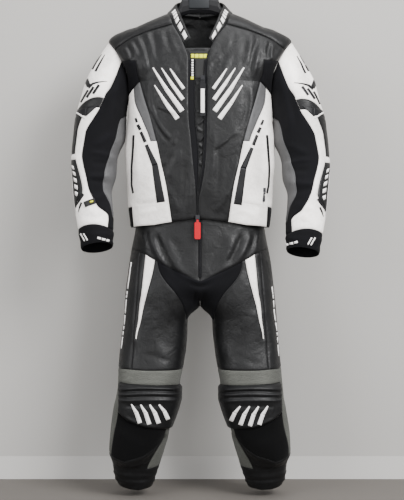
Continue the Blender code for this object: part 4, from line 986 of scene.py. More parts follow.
def applique(name, finish, shapes, lift=1.0, wall=0.6, cell=4.0):
    """Thin pieces laid on the cloth, as one object.

    Each shape is (surface, side, part, four corners), with corners seen from the front in
    millimetres, or in row and column coordinates when the surface's name has a * before it.
    """
    points, faces, count = [], [], 0
    for surface, side, part, corners in shapes:
        if surface[0] == "*":
            surface = surface[1:]
            steps = quad_grid(corners, 0.12)
            v, u = steps[..., 0], steps[..., 1]
        else:
            steps = quad_grid(corners, cell)
            v, u = find(surface, side, steps[..., 0], steps[..., 1])
        grid, normal = on_cloth(surface, side, part, v, u, lift)
        face = grid_faces(*grid.shape[:2], count)
        way = np.cross(grid[0, 1] - grid[0, 0], grid[1, 0] - grid[0, 0])
        points.append(grid.reshape(-1, 3))
        faces.append(face[:, ::-1] if way @ normal[0, 0] < 0 else face)
        count += grid.shape[0] * grid.shape[1]
    made = new_object(name, np.concatenate(points), np.concatenate(faces), finish)
    give_wall(made, wall)
    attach(made, "root")
    return made


def row_of(name, finish, shape, shape_faces, lines, body="root"):
    """One object of like small things: shape, in units across, along and out, at every line's places.

    Each line is (points, out, along, size), with a unit frame and a size of three numbers per place.
    """
    points, faces, count = [], [], 0
    for at, out, along, size in lines:
        across_way = np.cross(along, out)
        axes = np.stack([across_way * size[0], along * size[1], out * size[2]], 1)
        placed = at[:, None] + np.einsum("kj,njc->nkc", shape, axes)
        points.append(placed.reshape(-1, 3))
        step = count + np.arange(len(at)) * len(shape)
        faces.append((shape_faces[None] + step[:, None, None]).reshape(-1, shape_faces.shape[1]))
        count += len(at) * len(shape)
    made = new_object(name, np.concatenate(points), np.concatenate(faces), finish)
    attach(made, body)
    return made


STITCH = np.array([(0, -0.5, -0.4), (0.5, 0, 0), (0, 0.5, -0.4), (-0.5, 0, 0), (0, 0, 0.5), (0, 0, -0.5)])
STITCH_FACES = np.array([(0, 1, 4), (1, 2, 4), (2, 3, 4), (3, 0, 4),
                         (1, 0, 5), (2, 1, 5), (3, 2, 5), (0, 3, 5)])
TOOTH = np.array([(x, y, z) for z in (-0.5, 0.5)
                  for x, y in ((-0.5, -0.5), (0.5, -0.5), (0.5, 0.5), (-0.5, 0.5))])
TOOTH_FACES = np.array([(3, 2, 1, 0), (4, 5, 6, 7), (0, 1, 5, 4), (1, 2, 6, 5), (2, 3, 7, 6), (3, 0, 4, 7)])


def spaced(path, out, gap):
    """Places a gap apart along a path, with the outward and forward unit vectors there."""
    step = np.linalg.norm(np.diff(path, axis=0), axis=1)
    run = np.concatenate([[0], np.cumsum(step)])
    at = np.arange(gap / 2, run[-1], gap)
    points = np.stack([np.interp(at, run, path[:, k]) for k in range(3)], 1)
    ways = np.stack([np.interp(at, run, out[:, k]) for k in range(3)], 1)
    ahead = np.stack([np.interp(at + gap / 4, run, path[:, k]) for k in range(3)], 1)
    behind = np.stack([np.interp(at - gap / 4, run, path[:, k]) for k in range(3)], 1)
    along = ahead - behind
    along /= np.maximum(np.linalg.norm(along, axis=1, keepdims=True), 1e-9)
    ways -= along * (ways * along).sum(1, keepdims=True)
    ways /= np.maximum(np.linalg.norm(ways, axis=1, keepdims=True), 1e-9)
    return points, ways, along


def seam_path(name, side, part, axis, at, start, end, offset, lift):
    """A line beside a seam: offset millimetres from the row or column at, on the creased cloth."""
    run = np.linspace(start, end, max(int(abs(end - start) * 40), 2))
    if axis == "row":
        v, u, dv, du = np.full_like(run, at), run, 0.02, 0.0
    else:
        v, u, dv, du = run, np.full_like(run, at), 0.0, 0.02
    a, b = place(name, side, v, u)[0], place(name, side, v + dv, u + du)[0]
    scale = np.maximum(np.linalg.norm(b - a, axis=1), 1e-6) / 0.02
    move = offset / scale
    v, u = (v + move, u) if axis == "row" else (v, u + move)
    last_v, last_u = SURFACES[name][1:3]
    return on_cloth(name, side, part, np.clip(v, 0, last_v), np.clip(u, 0, last_u), lift)


SIDES = ((-1, "left"), (1, "right"))


def jacket_blocks(side):
    """The jacket's panels of one side: name, finish, blocks (surface, side, rows, columns), wall."""
    front, back = "torso_front", "torso_back"
    return (
        ("jacket_front", "black_leather", LEATHER, ((front, side, (HEM, YOKE), (0, 1)),
                                                    (front, side, (GUSSET, YOKE), (1, 4)))),
        ("side_grey", "grey_leather", LEATHER, ((front, side, (WEDGE_FOOT, ARMPIT), (1, 2)),)),
        ("side_white", "white_leather", LEATHER, ((front, side, (HEM, WEDGE_FOOT), (1, 3)),
                                                  (front, side, (WEDGE_FOOT, ARMPIT), (2, 3)),
                                                  (front, side, (BAND, ARMPIT), (3, 4)),
                                                  (back, side, (BAND, ARMPIT), (3, 4)))),
        ("underarm_gusset", "black_stretch", STRETCH, ((front, side, (ARMPIT, GUSSET), (1, 4)),)),
    )


def back_blocks(side):
    """The back panel's blocks of one side, which reach over the shoulder to the front yoke seam."""
    return [("torso_back", side, (BAND, SHOULDER), (0, 3)), ("torso_back", side, (ARMPIT, SHOULDER), (3, 4)),
            ("torso_front", side, (YOKE, SHOULDER), (0, 4))]


SLEEVE_PIECES = (  # name, finish, wall, then blocks of rows and columns
    ("sleeve_cap", "white_leather", LEATHER, (((0, CAP_EDGE), (0, 4)), ((0, CAP_EDGE), (8, 12)))),
    ("sleeve_chevron", "black_leather", LEATHER, (((CAP_EDGE, CHEVRON_EDGE), (0, 4)),)),
    ("inlay_upper", "black_leather", LEATHER, (((CHEVRON_EDGE, BAR_TOP), (0, 2)),)),
    ("inlay_lower", "black_leather", LEATHER, (((BAR_FOOT, INLAY_TIP), (0, 2)),)),
    ("sleeve_white", "white_leather", LEATHER, (
        ((CHEVRON_EDGE, WRIST), (2, 4)), ((BAR_TOP, BAR_FOOT), (0, 2)), ((INLAY_TIP, WRIST), (0, 2)),
        ((WRIST, CUFF_TOP), (0, 4)))),
    ("sleeve_stretch", "black_stretch", STRETCH, (
        ((0, CAP_EDGE), (4, 8)), ((CAP_EDGE, WRIST), (4, 5)), ((WRIST, CUFF_TOP), (4, 7)))),
    ("sleeve_grey", "grey_leather", LEATHER, (((CAP_EDGE, WRIST), (5, 7)),)),
    ("sleeve_back", "black_leather", LEATHER, (((CAP_EDGE, CUFF_TOP), (7, 12)),)),
    ("cuff", "black_stretch", 2.5, (((CUFF_TOP, CUFF_END), (0, 12)),)),
)
LEG_PIECES = (  # name, finish, wall, lift, then blocks of rows and columns
    ("trouser_yoke", "black_leather", LEATHER, 0, (((WAIST, YOKE_SEAM), (0, 5)),)),
    ("thigh_front", "black_leather", LEATHER, 0, (
        ((YOKE_SEAM, KNEE_BAND), (1, 2)), ((YOKE_SEAM, KNEE_BAND), (3, 4)), ((CROTCH_END, KNEE_BAND), (0, 1)),
        ((WEDGE_TIP, KNEE_BAND), (2, 3)))),
    ("thigh_wedge", "white_leather", LEATHER, 0, (((YOKE_SEAM, WEDGE_TIP), (2, 3)),)),
    ("thigh_outer", "black_leather", LEATHER, 0, (
        ((YOKE_SEAM, KNEE_BAND), (4, 5)), ((WAIST, KNEE_BAND), (5, 6)))),
    ("knee_stretch", "grey_stretch", STRETCH, 0, (
        ((KNEE_BAND, PAD_TOP), (0, 5)), ((PAD_TOP, VELOUR_FOOT), (4, 5)), ((KNEE_BAND, CALF_FOOT), (5, 6)),
        ((PAD_FOOT, CALF_FOOT), (0, 1)))),
    ("knee_pad", "black_leather", LEATHER, PAD_LIFT, (((PAD_TOP, PAD_FOOT), (0, 4)),)),
    ("velour_panel", "velour", LEATHER, 0, (((PAD_FOOT, VELOUR_FOOT), (1, 4)),)),
    ("ankle_leather", "black_leather", LEATHER, 0, (
        ((VELOUR_FOOT, CALF_FOOT), (1, 5)), ((CALF_FOOT, ANKLE_HEM), (0, 6)))),
)


def mirrored(points, side):
    """Front-view points of the left side's drawing, on that side or mirrored to the other."""
    return [(x if side < 0 else -x, z) for x, z in points]


class SuitSizes(bpy.types.PropertyGroup):
    """Sizes that shape the cloth's looks."""
    cell: FloatProperty(name="Cell", description="Spacing of the cloth's points", default=0.0052, min=0.003,
                        max=0.02, subtype="DISTANCE", unit="LENGTH")
    crease: FloatProperty(name="Crease depth", description="Share of the drawn creases' depth", default=1.0,
                          min=0.0, max=2.0, subtype="FACTOR")
    seam_dip: FloatProperty(name="Seam dip", description="How far the cloth dips at a seam", default=0.0012,
                            min=0.0, max=0.004, subtype="DISTANCE", unit="LENGTH")
    stitch: FloatProperty(name="Stitch spacing", description="From one stitch to the next", default=0.0042,
                          min=0.002, max=0.01, subtype="DISTANCE", unit="LENGTH")
    tooth: FloatProperty(name="Zip tooth spacing", description="From one zip tooth to the next", default=0.0031,
                         min=0.0015, max=0.01, subtype="DISTANCE", unit="LENGTH")


class SuitColours(bpy.types.PropertyGroup):
    """Colours of the suit's main finishes."""
    black_leather: FloatVectorProperty(name="Black leather", description="Colour of the black leather",
                                       subtype="COLOR", default=FINISHES["black_leather"][1:4], min=0, max=1)
    white_leather: FloatVectorProperty(name="White leather", description="Colour of the white leather",
                                       subtype="COLOR", default=FINISHES["white_leather"][1:4], min=0, max=1)
    grey_leather: FloatVectorProperty(name="Grey leather", description="Colour of the grey leather",
                                      subtype="COLOR", default=FINISHES["grey_leather"][1:4], min=0, max=1)
    grey_stretch: FloatVectorProperty(name="Grey stretch", description="Colour of the ribbed stretch",
                                      subtype="COLOR", default=FINISHES["grey_stretch"][1:4], min=0, max=1)
    red_rubber: FloatVectorProperty(name="Pull tab", description="Colour of the main zip's pull tab",
                                    subtype="COLOR", default=FINISHES["red_rubber"][1:4], min=0, max=1)


class SUIT_OT_jacket(bpy.types.Operator):
    """Cut the jacket's body panels, its hem and its collar"""
    bl_idname = "suit.jacket"
    bl_label = "Jacket body"

    def execute(self, context):
        for side, word in SIDES:
            for name, finish, wall, blocks in jacket_blocks(side):
                cloth(f"{name}_{word}_cloth", f"{name}_{word}", finish, "jacket", blocks, wall)
        cloth("jacket_back_cloth", "jacket_back", "black_leather", "jacket", back_blocks(-1) + back_blocks(1))
        hem = [(surface, side, (HEM, BAND), (3 if surface == "torso_front" else 0, 4))
               for side, _ in SIDES for surface in ("torso_front", "torso_back")]
        cloth("hem_elastic_cloth", "hem_elastic", "black_stretch", "jacket", hem, 2.0)
        cloth("collar_cloth", "collar", "black_leather", "collar",
              [("collar", side, (0, 6), (0, 1)) for side, _ in SIDES], COLLAR_WALL, cell=3.5)
        return {"FINISHED"}


class SUIT_OT_sleeves(bpy.types.Operator):
    """Cut the panels of both sleeves"""
    bl_idname = "suit.sleeves"
    bl_label = "Sleeves"

    def execute(self, context):
        for side, word in SIDES:
            for name, finish, wall, blocks in SLEEVE_PIECES:
                cloth(f"{name}_{word}_cloth", f"{name}_{word}", finish, "cuff" if name == "cuff" else "sleeve",
                      [("sleeve", side, rows, columns) for rows, columns in blocks], wall)
        return {"FINISHED"}


class SUIT_OT_trousers(bpy.types.Operator):
    """Cut the panels of both legs, with their knee pads"""
    bl_idname = "suit.trousers"
    bl_label = "Trousers"

    def execute(self, context):
        for side, word in SIDES:
            for name, finish, wall, lift, blocks in LEG_PIECES:
                fine = 3.4 if name == "knee_pad" else None
                cloth(f"{name}_{word}_cloth", f"{name}_{word}", finish, "pad" if lift else "leg",
                      [("leg", side, rows, columns) for rows, columns in blocks], wall, lift, cell=fine)
        cloth("crotch_stretch_cloth", "crotch_stretch", "black_stretch", "leg",
              [("leg", side, (YOKE_SEAM, CROTCH_END), (0, 1)) for side, _ in SIDES], STRETCH)
        return {"FINISHED"}


class SUIT_OT_opening(bpy.types.Operator):
    """Lay the zip tapes, the crumpled wind flap and the neck label behind the open front"""
    bl_idname = "suit.opening"
    bl_label = "Front opening"

    def execute(self, context):
        cloth("zip_tape_left_cloth", "zip_tape_left", "zip_tape", "plain", [("tape_left", 1, (0, 9), (0, 1))],
              TAPE_WALL, dip=0.3)
        cloth("zip_tape_right_cloth", "zip_tape_right", "zip_tape", "plain", [("tape_right", 1, (0, 9), (0, 1))],
              TAPE_WALL, dip=0.3)
        cloth("wind_flap_cloth", "wind_flap", "black_leather", "flap", [("flap", 1, (0.2, 9.7), (0, 1))],
              FLAP_WALL, dip=0.3, cell=3.2)
        cloth("neck_label_cloth", "neck_label", "grey_tab", "plain", [("label", 1, (7.2, 9.5), (0, 1))],
              LABEL_WALL, dip=0.2, cell=3.2)
        return {"FINISHED"}


# Graphics, drawn for the left side as seen from the front: paths and their widths.
CHEST_BARS = (
    (((-139, -372), (-98, -438), (-52, -502)), (4, 12, 15)),
    (((-113, -374), (-84, -420), (-50, -468)), (3, 10, 12)),
    (((-88, -376), (-70, -404), (-48, -436)), (3, 8, 10)),
    (((-134, -424), (-100, -478), (-66, -524)), (3, 11, 14)),
)
CAP_BARS = (
    (((-287, -322), (-302, -348), (-314, -374)), (2, 6, 7)),
    (((-298, -318), (-313, -342), (-324, -366)), (2, 5, 6)),
    (((-308, -320), (-321, -340)), (2, 4)),
    (((-344, -396), (-333, -420)), (15, 12)),
    (((-335, -423), (-320, -413), (-300, -410), (-276, -409)), (12, 7, 4, 1)),
    (((-300, -419), (-318, -445)), (8, 8)),
    (((-317, -424), (-338, -455)), (8, 8)),
    (((-335, -432), (-357, -467)), (7, 7)),
)
SLASHES = (
    (((-343, -745), (-356, -763), (-367, -780)), (8, 7, 2)),
    (((-349, -770), (-355, -784), (-359, -799)), (6, 5, 1)),
)
CHEVRON_FILL = (
    ((-373, -490), (-338, -486), (-338, -512), (-356, -506)),
    ((-338, -486), (-303, -482), (-312, -490), (-338, -512)),
)
CHEVRON_LINE = ((((-375, -494), (-358, -506), (-341, -518)), (4.5, 4.5, 4.5)),)
KNEE_BARS = (
    (((-200, -1364), (-186, -1388), (-176, -1418)), (4, 11, 12)),
    (((-174, -1364), (-160, -1388), (-150, -1422)), (4, 11, 12)),
    (((-148, -1364), (-134, -1388), (-124, -1420)), (4, 11, 12)),
    (((-122, -1364), (-108, -1384), (-99, -1410)), (4, 10, 11)),
)
CUFF_BARS = (
    (((-350, -862), (-338, -884)), (4, 4)),
    (((-340, -862), (-329, -882)), (4, 4)),
    (((-299, -874), (-289, -877)), (6, 6)),
    (((-286, -878), (-276, -880)), (6, 6)),
    (((-273, -881), (-265, -883)), (6, 6)),
)
DASHES = {  # the side panels' stripes, which differ a little from side to side
    -1: ((((-190.5, -518), (-186, -531)), (6, 7)), (((-184, -538), (-177, -554)), (8, 9)),
         (((-175.5, -560), (-161.5, -591)), (8.5, 10)),
         (((-158.5, -599), (-133, -659), (-115, -769)), (10, 18, 25))),
    1: ((((187, -524), (181, -539)), (6, 7)), (((179, -547), (171.5, -563)), (8, 9)),
        (((169.5, -570), (157, -600)), (8.5, 10)),
        (((153.5, -608), (128, -668), (111, -776)), (10, 18, 25))),
}
THIGH_STRIP = {-1: (2.3, 4.50, 6.35, 4.63), 1: (2.9, 4.53, 6.6, 4.64)}     # row and column of both ends
THIGH_MARKS = (0.0, 0.16, 0.18, 0.31, 0.33, 0.42, 0.44, 0.60, 0.62, 0.74, 0.76, 0.81, 0.83, 0.88, 0.9, 1.0)


class SUIT_OT_graphics(bpy.types.Operator):
    """Lay the printed bars, stripes and dashes on the panels"""
    bl_idname = "suit.graphics"
    bl_label = "Bars and stripes"

    def execute(self, context):
        for side, word in SIDES:
            def drawn(surface, part, strokes, dx=0.0, dz=0.0):
                """Shapes of strokes drawn for the left, moved or mirrored to this side."""
                shapes = []
                for path, widths in strokes:
                    right = side > 0
                    moved = [(x + dx * right, z + dz * right) for x, z in mirrored(path, side)]
                    shapes += [(surface, side, part, quad) for quad in stroke(moved, widths)]
                return shapes

            applique(f"chest_bars_{word}", "white_print", drawn("torso_front", "jacket", CHEST_BARS, -9))
            applique(f"cap_bars_{word}", "black_print", drawn("sleeve", "sleeve", CAP_BARS, 4, -4))
            applique(f"sleeve_slashes_{word}", "black_print", drawn("sleeve", "sleeve", SLASHES, 4, -14))
            applique(f"knee_bars_{word}", "white_print", drawn("leg", "pad", KNEE_BARS, -2, -5), PAD_LIFT + 1.0)
            applique(f"cuff_bars_{word}", "white_print", drawn("sleeve", "cuff", CUFF_BARS, -14, -12))
            stripes = [("torso_front", side, "jacket", quad) for path, widths in DASHES[side]
                       for quad in stroke(path, widths)]
            applique(f"side_stripes_{word}", "black_print", stripes)
            v0, u0, v1, u1 = THIGH_STRIP[side]
            marks = []
            for start, end in zip(THIGH_MARKS[::2], THIGH_MARKS[1::2]):
                a, b = v0 + (v1 - v0) * start, v0 + (v1 - v0) * end
                c, d = u0 + (u1 - u0) * start, u0 + (u1 - u0) * end
                corners = (a, c - 0.055), (a, c + 0.055), (b, d + 0.055), (b, d - 0.055)
                marks.append(("*leg", side, "leg", corners))
            applique(f"thigh_marks_{word}", "white_print", marks)
            inlay = [("*sleeve", side, "sleeve", ((v, 0.72), (v + 0.1, 1.32), (v + 0.34, 1.32), (v + 0.24, 0.72)))
                     for v in (7.35, 7.76, 8.17, 8.58, 8.99)]
            applique(f"inlay_marks_{word}", "white_print", inlay)
            fill = [("sleeve", side, "sleeve", tuple(mirrored(path, side))) for path in CHEVRON_FILL]
            applique(f"chevron_fill_{word}", "black_print", fill, 1.0)
            applique(f"chevron_line_{word}", "white_print", drawn("sleeve", "sleeve", CHEVRON_LINE, 0, 0), 1.6)
            line = [("*sleeve", side, "sleeve", ((7.6, 0.01), (7.6, 0.13), (10.9, 0.2), (10.9, 0.02)))]
            applique(f"outer_line_{word}", "white_print", line)
            band = [("*collar", side, "collar", ((v, 0.3), (v + 0.07, 0.72), (v + 0.33, 0.72), (v + 0.26, 0.3)))
                    for v in (0.06, 0.43, 0.80, 1.17, 1.54, 1.91)]
            applique(f"collar_marks_{word}", "white_print", band)
        return {"FINISHED"}


class SUIT_OT_trim(bpy.types.Operator):
    """Add the neck label's blocks, the wrist tab and the pull tab's insert"""
    bl_idname = "suit.trim"
    bl_label = "Labels and tabs"

    def execute(self, context):
        def block(surface, x, z, width, height):
            """One upright block on the neck label or the tape beside it, by its middle."""
            x0, x1, z0, z1 = x - width / 2, x + width / 2, z - height / 2, z + height / 2
            return (surface, 1, "plain", ((x0, z1), (x1, z1), (x1, z0), (x0, z0)))

        applique("label_bar", "label", [block("label", x, -337, 12, 12) for x in (-10, 3, 16)]
                 + [block("tape_left", -22, -337, 9, 12), block("tape_left", -23, -404, 9, 9)])
        applique("label_blocks", "white_print",
                 [block("tape_left", -22, -350 - 7.6 * k, 5.5, 5) for k in range(7)])
        tab = stroke(((-339, -777), (-324, -771), (-308, -766)), (17, 17, 16))
        applique("wrist_tab", "grey_tab", [("sleeve", -1, "sleeve", quad) for quad in tab], 2.2, 1.4)
        spot = stroke(((-323, -770), (-314, -767)), (5, 4))
        applique("wrist_tab_mark", "label", [("sleeve", -1, "sleeve", quad) for quad in spot], 3.0, 0.6)
        low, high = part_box("long_pull")
        middle = (low + high) / 2 / MM
        insert = new_object("long_pull_insert", np.array(
            [(middle.x + a * 5.6, middle.y + b * 2.7, middle.z - 8 + c * 35.5)
             for c in (-1, 1) for a, b in ((-1, -1), (1, -1), (1, 1), (-1, 1))]), TOOTH_FACES, "white_print")
        bevel = insert.modifiers.new("Round", "BEVEL")
        bevel.width = 1.2 * MM
        bevel.segments = 3
        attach(insert, "hanging_pull")
        plate = new_object("hanger_plate", np.array(
            [(-3 + a * 31, -7 + b * 7.5, -161 + c * 17)
             for c in (-1, 1) for a, b in ((-1, -1), (1, -1), (1, 1), (-1, 1))]), TOOTH_FACES, "hanger_grey")
        bevel = plate.modifiers.new("Round", "BEVEL")
        bevel.width = 2.5 * MM
        bevel.segments = 3
        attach(plate, "root")
        for name, finish in PLAIN_NODES:
            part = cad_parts[name]
            part.data.materials.clear()
            part.data.materials.append(finish_of(finish))
        return {"FINISHED"}


PLAIN_NODES = (
    ("hanger", "hanger_plastic"), ("hanger_hook", "metal"), ("zip_slider", "metal"), ("upper_slider", "metal"),
    ("pocket_slider", "metal"), ("zip_pull_red", "red_rubber"), ("long_pull", "pull_plastic"),
    ("pocket_pull", "metal"),
)


class SUIT_OT_zips(bpy.types.Operator):
    """Add the teeth of the main, pocket and fly zips, and the pocket zips' tapes"""
    bl_idname = "suit.zips"
    bl_label = "Zips"

    def execute(self, context):
        gap = context.scene.suit_sizes.tooth / MM
        size = (4.2, gap * 0.55, 1.8)
        rows = np.linspace(0.03, 8.97, 300)
        main = [(*spaced(*on_cloth(name, 1, "plain", rows, np.full_like(rows, u), 0.7), gap), size)
                for name, u in (("tape_left", 0.955), ("tape_right", 0.07))]
        row_of("main_zip_teeth", "pull_plastic", TOOTH, TOOTH_FACES, main)
        for side, word in SIDES:
            v, u = np.array(POCKET_ZIP).T
            fine = np.linspace(0, 1, 61)
            at = np.interp(fine, np.linspace(0, 1, len(v)), v), np.interp(fine, np.linspace(0, 1, len(v)), u)
            middle, out = on_cloth("torso_front", side, "jacket", *at, 1.6)
            along = np.gradient(middle, axis=0)
            aside = np.cross(out, along)
            aside /= np.linalg.norm(aside, axis=1, keepdims=True)
            across_tape = np.linspace(-0.5, 0.5, 5)[None, :, None] * POCKET_ZIP_WIDTH
            tape = middle[:, None] + aside[:, None] * across_tape
            faces = grid_faces(61, 5)
            if np.cross(tape[0, 1] - tape[0, 0], tape[1, 0] - tape[0, 0]) @ out[0] < 0:
                faces = faces[:, ::-1]
            made = new_object(f"pocket_zip_{word}_tape", tape.reshape(-1, 3), faces, "zip_tape")
            give_wall(made, 1.2)
            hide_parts(f"pocket_zip_{word}")
            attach(made, "root")
            teeth = [(*spaced(middle + aside * shift + out * 0.5, out, 2.4), (3.0, 1.3, 1.0))
                     for shift in (-0.9, 0.9)]
            row_of(f"pocket_zip_{word}_teeth", "pull_plastic", TOOTH, TOOTH_FACES, teeth)
        fly = np.linspace(0.9, 1.86, 60)
        path, out = on_cloth("leg", 1, "leg", fly, np.zeros_like(fly), 1.4)
        out = out * (0, 1, 1)
        out /= np.linalg.norm(out, axis=1, keepdims=True)
        path = path * (0, 1, 1)
        ribbon = path[:, None] + np.array([(-4.5, -0.4, 0), (-2, 0, 0), (2, 0, 0), (4.5, -0.4, 0)]) * (1, -1, 1)
        faces = grid_faces(60, 4)
        if np.cross(ribbon[0, 1] - ribbon[0, 0], ribbon[1, 0] - ribbon[0, 0])[1] > 0:
            faces = faces[:, ::-1]
        tape = new_object("fly_tape", ribbon.reshape(-1, 3), faces, "zip_tape")
        give_wall(tape, 1.0)
        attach(tape, "root")
        teeth = [(*spaced(path + out * 0.5, out, 2.8), (3.2, 1.5, 1.0))]
        row_of("fly_teeth", "metal", TOOTH, TOOTH_FACES, teeth)
        return {"FINISHED"}


TOP_STITCHES = (  # surface, part, "row" or "column", its place, from, to, offsets, thread
    ("torso_front", "jacket", "column", 0, 0.1, 10.6, (5, 8.5), "black_thread"),
    ("torso_front", "jacket", "column", 1, 0.1, 8.9, (-3.4, -6), "black_thread"),
    ("torso_front", "jacket", "column", 1, 0.1, 3.9, (3.4,), "white_thread"),
    ("torso_front", "jacket", "column", 2, 4.1, 6.9, (3.4,), "white_thread"),
    ("torso_front", "jacket", "column", 2, 4.1, 6.9, (-3.4,), "black_thread"),
    ("torso_front", "jacket", "row", 1, 1.05, 2.95, (-3.4, 3.4), "white_thread"),
    ("torso_front", "jacket", "row", 4, 1.05, 1.95, (-3.4,), "white_thread"),
    ("torso_front", "jacket", "row", 11, 0.1, 3.9, (-3.4, 3.4, 6), "black_thread"),
    ("torso_front", "jacket", "row", 0, 1.05, 2.95, (4,), "white_thread"),
    ("torso_front", "jacket", "row", 0, 0.1, 0.95, (4,), "black_thread"),
    ("torso_back", "jacket", "row", 1, 0.1, 2.95, (3.4, 6), "black_thread"),
    ("torso_back", "jacket", "column", 3, 1.1, 6.9, (-3.4, -6), "black_thread"),
    ("torso_back", "jacket", "column", 3, 1.1, 6.9, (3.4,), "white_thread"),
    ("sleeve", "sleeve", "row", 0, 0.1, 3.9, (3.6,), "white_thread"),
    ("sleeve", "sleeve", "row", 0, 8.1, 11.9, (3.6,), "white_thread"),
    ("sleeve", "sleeve", "column", 4, 0.1, 10.8, (-3.4,), "white_thread"),
    ("sleeve", "sleeve", "column", 5, 3.1, 10.9, (3.4,), "black_thread"),
    ("sleeve", "sleeve", "row", 3, 0.1, 3.9, (-3.4,), "white_thread"),
    ("sleeve", "sleeve", "row", 3, 0.1, 3.9, (3.4,), "black_thread"),
    ("sleeve", "sleeve", "column", 2, 4.1, 5.9, (-3.4,), "black_thread"),
    ("sleeve", "sleeve", "column", 2, 4.1, 9.9, (3.4,), "white_thread"),
    ("sleeve", "sleeve", "column", 2, 7.1, 9.8, (-3.4,), "black_thread"),
    ("sleeve", "sleeve", "column", 7, 3.1, 11.9, (3.4, 6), "black_thread"),
    ("sleeve", "sleeve", "row", 3, 7.1, 11.9, (3.4, 6), "black_thread"),
    ("leg", "leg", "row", 2, 0.1, 4.9, (-3.4, -6), "black_thread"),
    ("leg", "leg", "column", 4, 2.1, 6.9, (-4, -8, 4, 8), "black_thread"),
    ("leg", "leg", "column", 2, 2.1, 5.9, (3.0,), "white_thread"),
    ("leg", "leg", "column", 3, 2.1, 5.9, (-3.0,), "white_thread"),
    ("leg", "leg", "column", 1, 2.1, 4.9, (3.4, 6), "black_thread"),
    ("leg", "leg", "row", 7, 0.1, 5.9, (-3.4, -6), "black_thread"),
    ("leg", "leg", "column", 5, 0.3, 6.9, (3.4, 6), "black_thread"),
    ("leg", "leg", "row", 11, 1.1, 4.9, (3.4, 6.5), "black_thread"),
    ("leg", "leg", "row", 12, 0.1, 5.9, (3.4, 6), "black_thread"),
    ("leg", "leg", "row", 14, 0.1, 5.9, (-5,), "black_thread"),
)


class SUIT_OT_stitches(bpy.types.Operator):
    """Sew rows of top stitches along the main seams"""
    bl_idname = "suit.stitches"
    bl_label = "Top stitches"

    def execute(self, context):
        gap = context.scene.suit_sizes.stitch / MM
        for thread in ("black_thread", "white_thread"):
            lines = []
            for name, part, axis, at, start, end, offsets, colour in TOP_STITCHES:
                if colour != thread:
                    continue
                for side, _ in SIDES:
                    for offset in offsets:
                        path, out = seam_path(name, side, part, axis, at, start, end, offset, 0.25)
                        lines.append((*spaced(path, out, gap), (1.0, gap * 0.74, 0.9)))
            row_of(f"{thread.split('_')[0]}_stitches", thread, STITCH, STITCH_FACES, lines)
        return {"FINISHED"}


ROOM, WALL, FLOOR = 9, 0.3, -1.66       # half width of the room, and where its wall and floor are, in metres


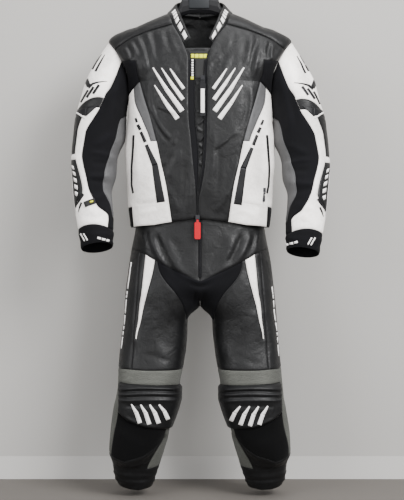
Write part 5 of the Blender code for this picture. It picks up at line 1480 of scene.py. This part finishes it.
class SUIT_OT_stage(bpy.types.Operator):
    """Set up the pale wall and floor, seen from their fronts only, the soft lights and the camera"""
    bl_idname = "suit.stage"
    bl_label = "Stage"

    def execute(self, context):
        scene = context.scene
        for name, (x0, y0, z0), (x1, y1, z1), colour in (
            ("backdrop", (-ROOM, WALL, FLOOR), (ROOM, WALL, 5), (0.37, 0.36, 0.345)),
            ("skirting", (-ROOM, WALL - 0.02, FLOOR), (ROOM, WALL - 0.02, FLOOR + 0.075), (0.46, 0.45, 0.435)),
            ("floor", (-ROOM, -ROOM, FLOOR), (ROOM, WALL, FLOOR), (0.105, 0.095, 0.085)),
        ):
            corners = (x0, y0, z0), (x1, y0, z0), (x1, y1, z1), (x0, y1, z1)
            mesh = bpy.data.meshes.new(name)
            mesh.from_pydata(corners, [], [(0, 1, 2, 3)])
            plain = bpy.data.materials.new(name)
            plain.use_nodes = True
            tree = plain.node_tree
            paint = tree.nodes["Principled BSDF"]
            paint.inputs["Base Color"].default_value = (*colour, 1)
            paint.inputs["Roughness"].default_value = 0.9
            behind = node(tree, "ShaderNodeNewGeometry").outputs["Backfacing"]
            clear = node(tree, "ShaderNodeBsdfTransparent").outputs[0]
            seen = node(tree, "ShaderNodeMixShader", i0=behind, i1=paint.outputs[0], i2=clear).outputs[0]
            tree.links.new(seen, tree.nodes["Material Output"].inputs["Surface"])
            mesh.materials.append(plain)
            made = bpy.data.objects.new(name, mesh)
            scene.collection.objects.link(made)
        for name, place_at, power, width in (
            ("key", (2.3, -3.2, 1.2), 300, 1.8), ("fill", (-3.0, -3.4, 0.2), 120, 2.6),
            ("top", (0.3, -1.2, 2.4), 105, 2.0), ("low", (0.4, -3.6, -1.2), 46, 2.4),
        ):
            lamp = bpy.data.lights.new(name, "AREA")
            lamp.energy = power
            lamp.size = width
            made = bpy.data.objects.new(name, lamp)
            made.location = place_at
            made.rotation_euler = (Vector((0, 0, -0.85)) - Vector(place_at)).to_track_quat("-Z", "Y").to_euler()
            scene.collection.objects.link(made)
        world = bpy.data.worlds.new("room")
        world.use_nodes = True
        world.node_tree.nodes["Background"].inputs[0].default_value = (0.98, 0.99, 1.0, 1)
        world.node_tree.nodes["Background"].inputs[1].default_value = 0.9
        scene.world = world
        lens = bpy.data.cameras.new("camera")
        lens.sensor_fit = "VERTICAL"
        lens.sensor_height = 36.0
        lens.lens = 36.0 * 3.6 / 1.5
        camera = bpy.data.objects.new("camera", lens)
        camera.location = (0.006, -3.65, -0.91)
        camera.rotation_euler = (math.pi / 2, 0, 0)
        scene.collection.objects.link(camera)
        scene.camera = camera
        return {"FINISHED"}


OPERATORS = (SUIT_OT_jacket, SUIT_OT_sleeves, SUIT_OT_trousers, SUIT_OT_opening, SUIT_OT_zips, SUIT_OT_graphics,
             SUIT_OT_trim, SUIT_OT_stitches, SUIT_OT_stage)


class SUIT_PT_panel(bpy.types.Panel):
    """The suit's sizes, colours and pieces"""
    bl_idname = "SUIT_PT_panel"
    bl_label = "Race suit"
    bl_space_type = "VIEW_3D"
    bl_region_type = "UI"
    bl_category = "Race suit"

    def draw(self, context):
        column = self.layout.column()
        for name in SuitSizes.__annotations__:
            column.prop(context.scene.suit_sizes, name)
        for name in SuitColours.__annotations__:
            column.prop(context.scene.suit_colours, name)
        for operator in OPERATORS:
            column.operator(operator.bl_idname)


CLASSES = (SuitSizes, SuitColours, *OPERATORS, SUIT_PT_panel)


def register():
    """Make the classes known, with the scene's sizes and colours."""
    for cls in CLASSES:
        bpy.utils.register_class(cls)
    bpy.types.Scene.suit_sizes = PointerProperty(type=SuitSizes)
    bpy.types.Scene.suit_colours = PointerProperty(type=SuitColours)


def unregister():
    """Take the classes away again."""
    del bpy.types.Scene.suit_sizes
    del bpy.types.Scene.suit_colours
    for cls in reversed(CLASSES):
        bpy.utils.unregister_class(cls)


def main():
    """Register the add-on, then build every piece."""
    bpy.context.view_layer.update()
    register()
    for operator in OPERATORS:
        getattr(bpy.ops.suit, operator.bl_idname.split(".")[1])()
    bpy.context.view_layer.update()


if __name__ == "__main__":
    main()
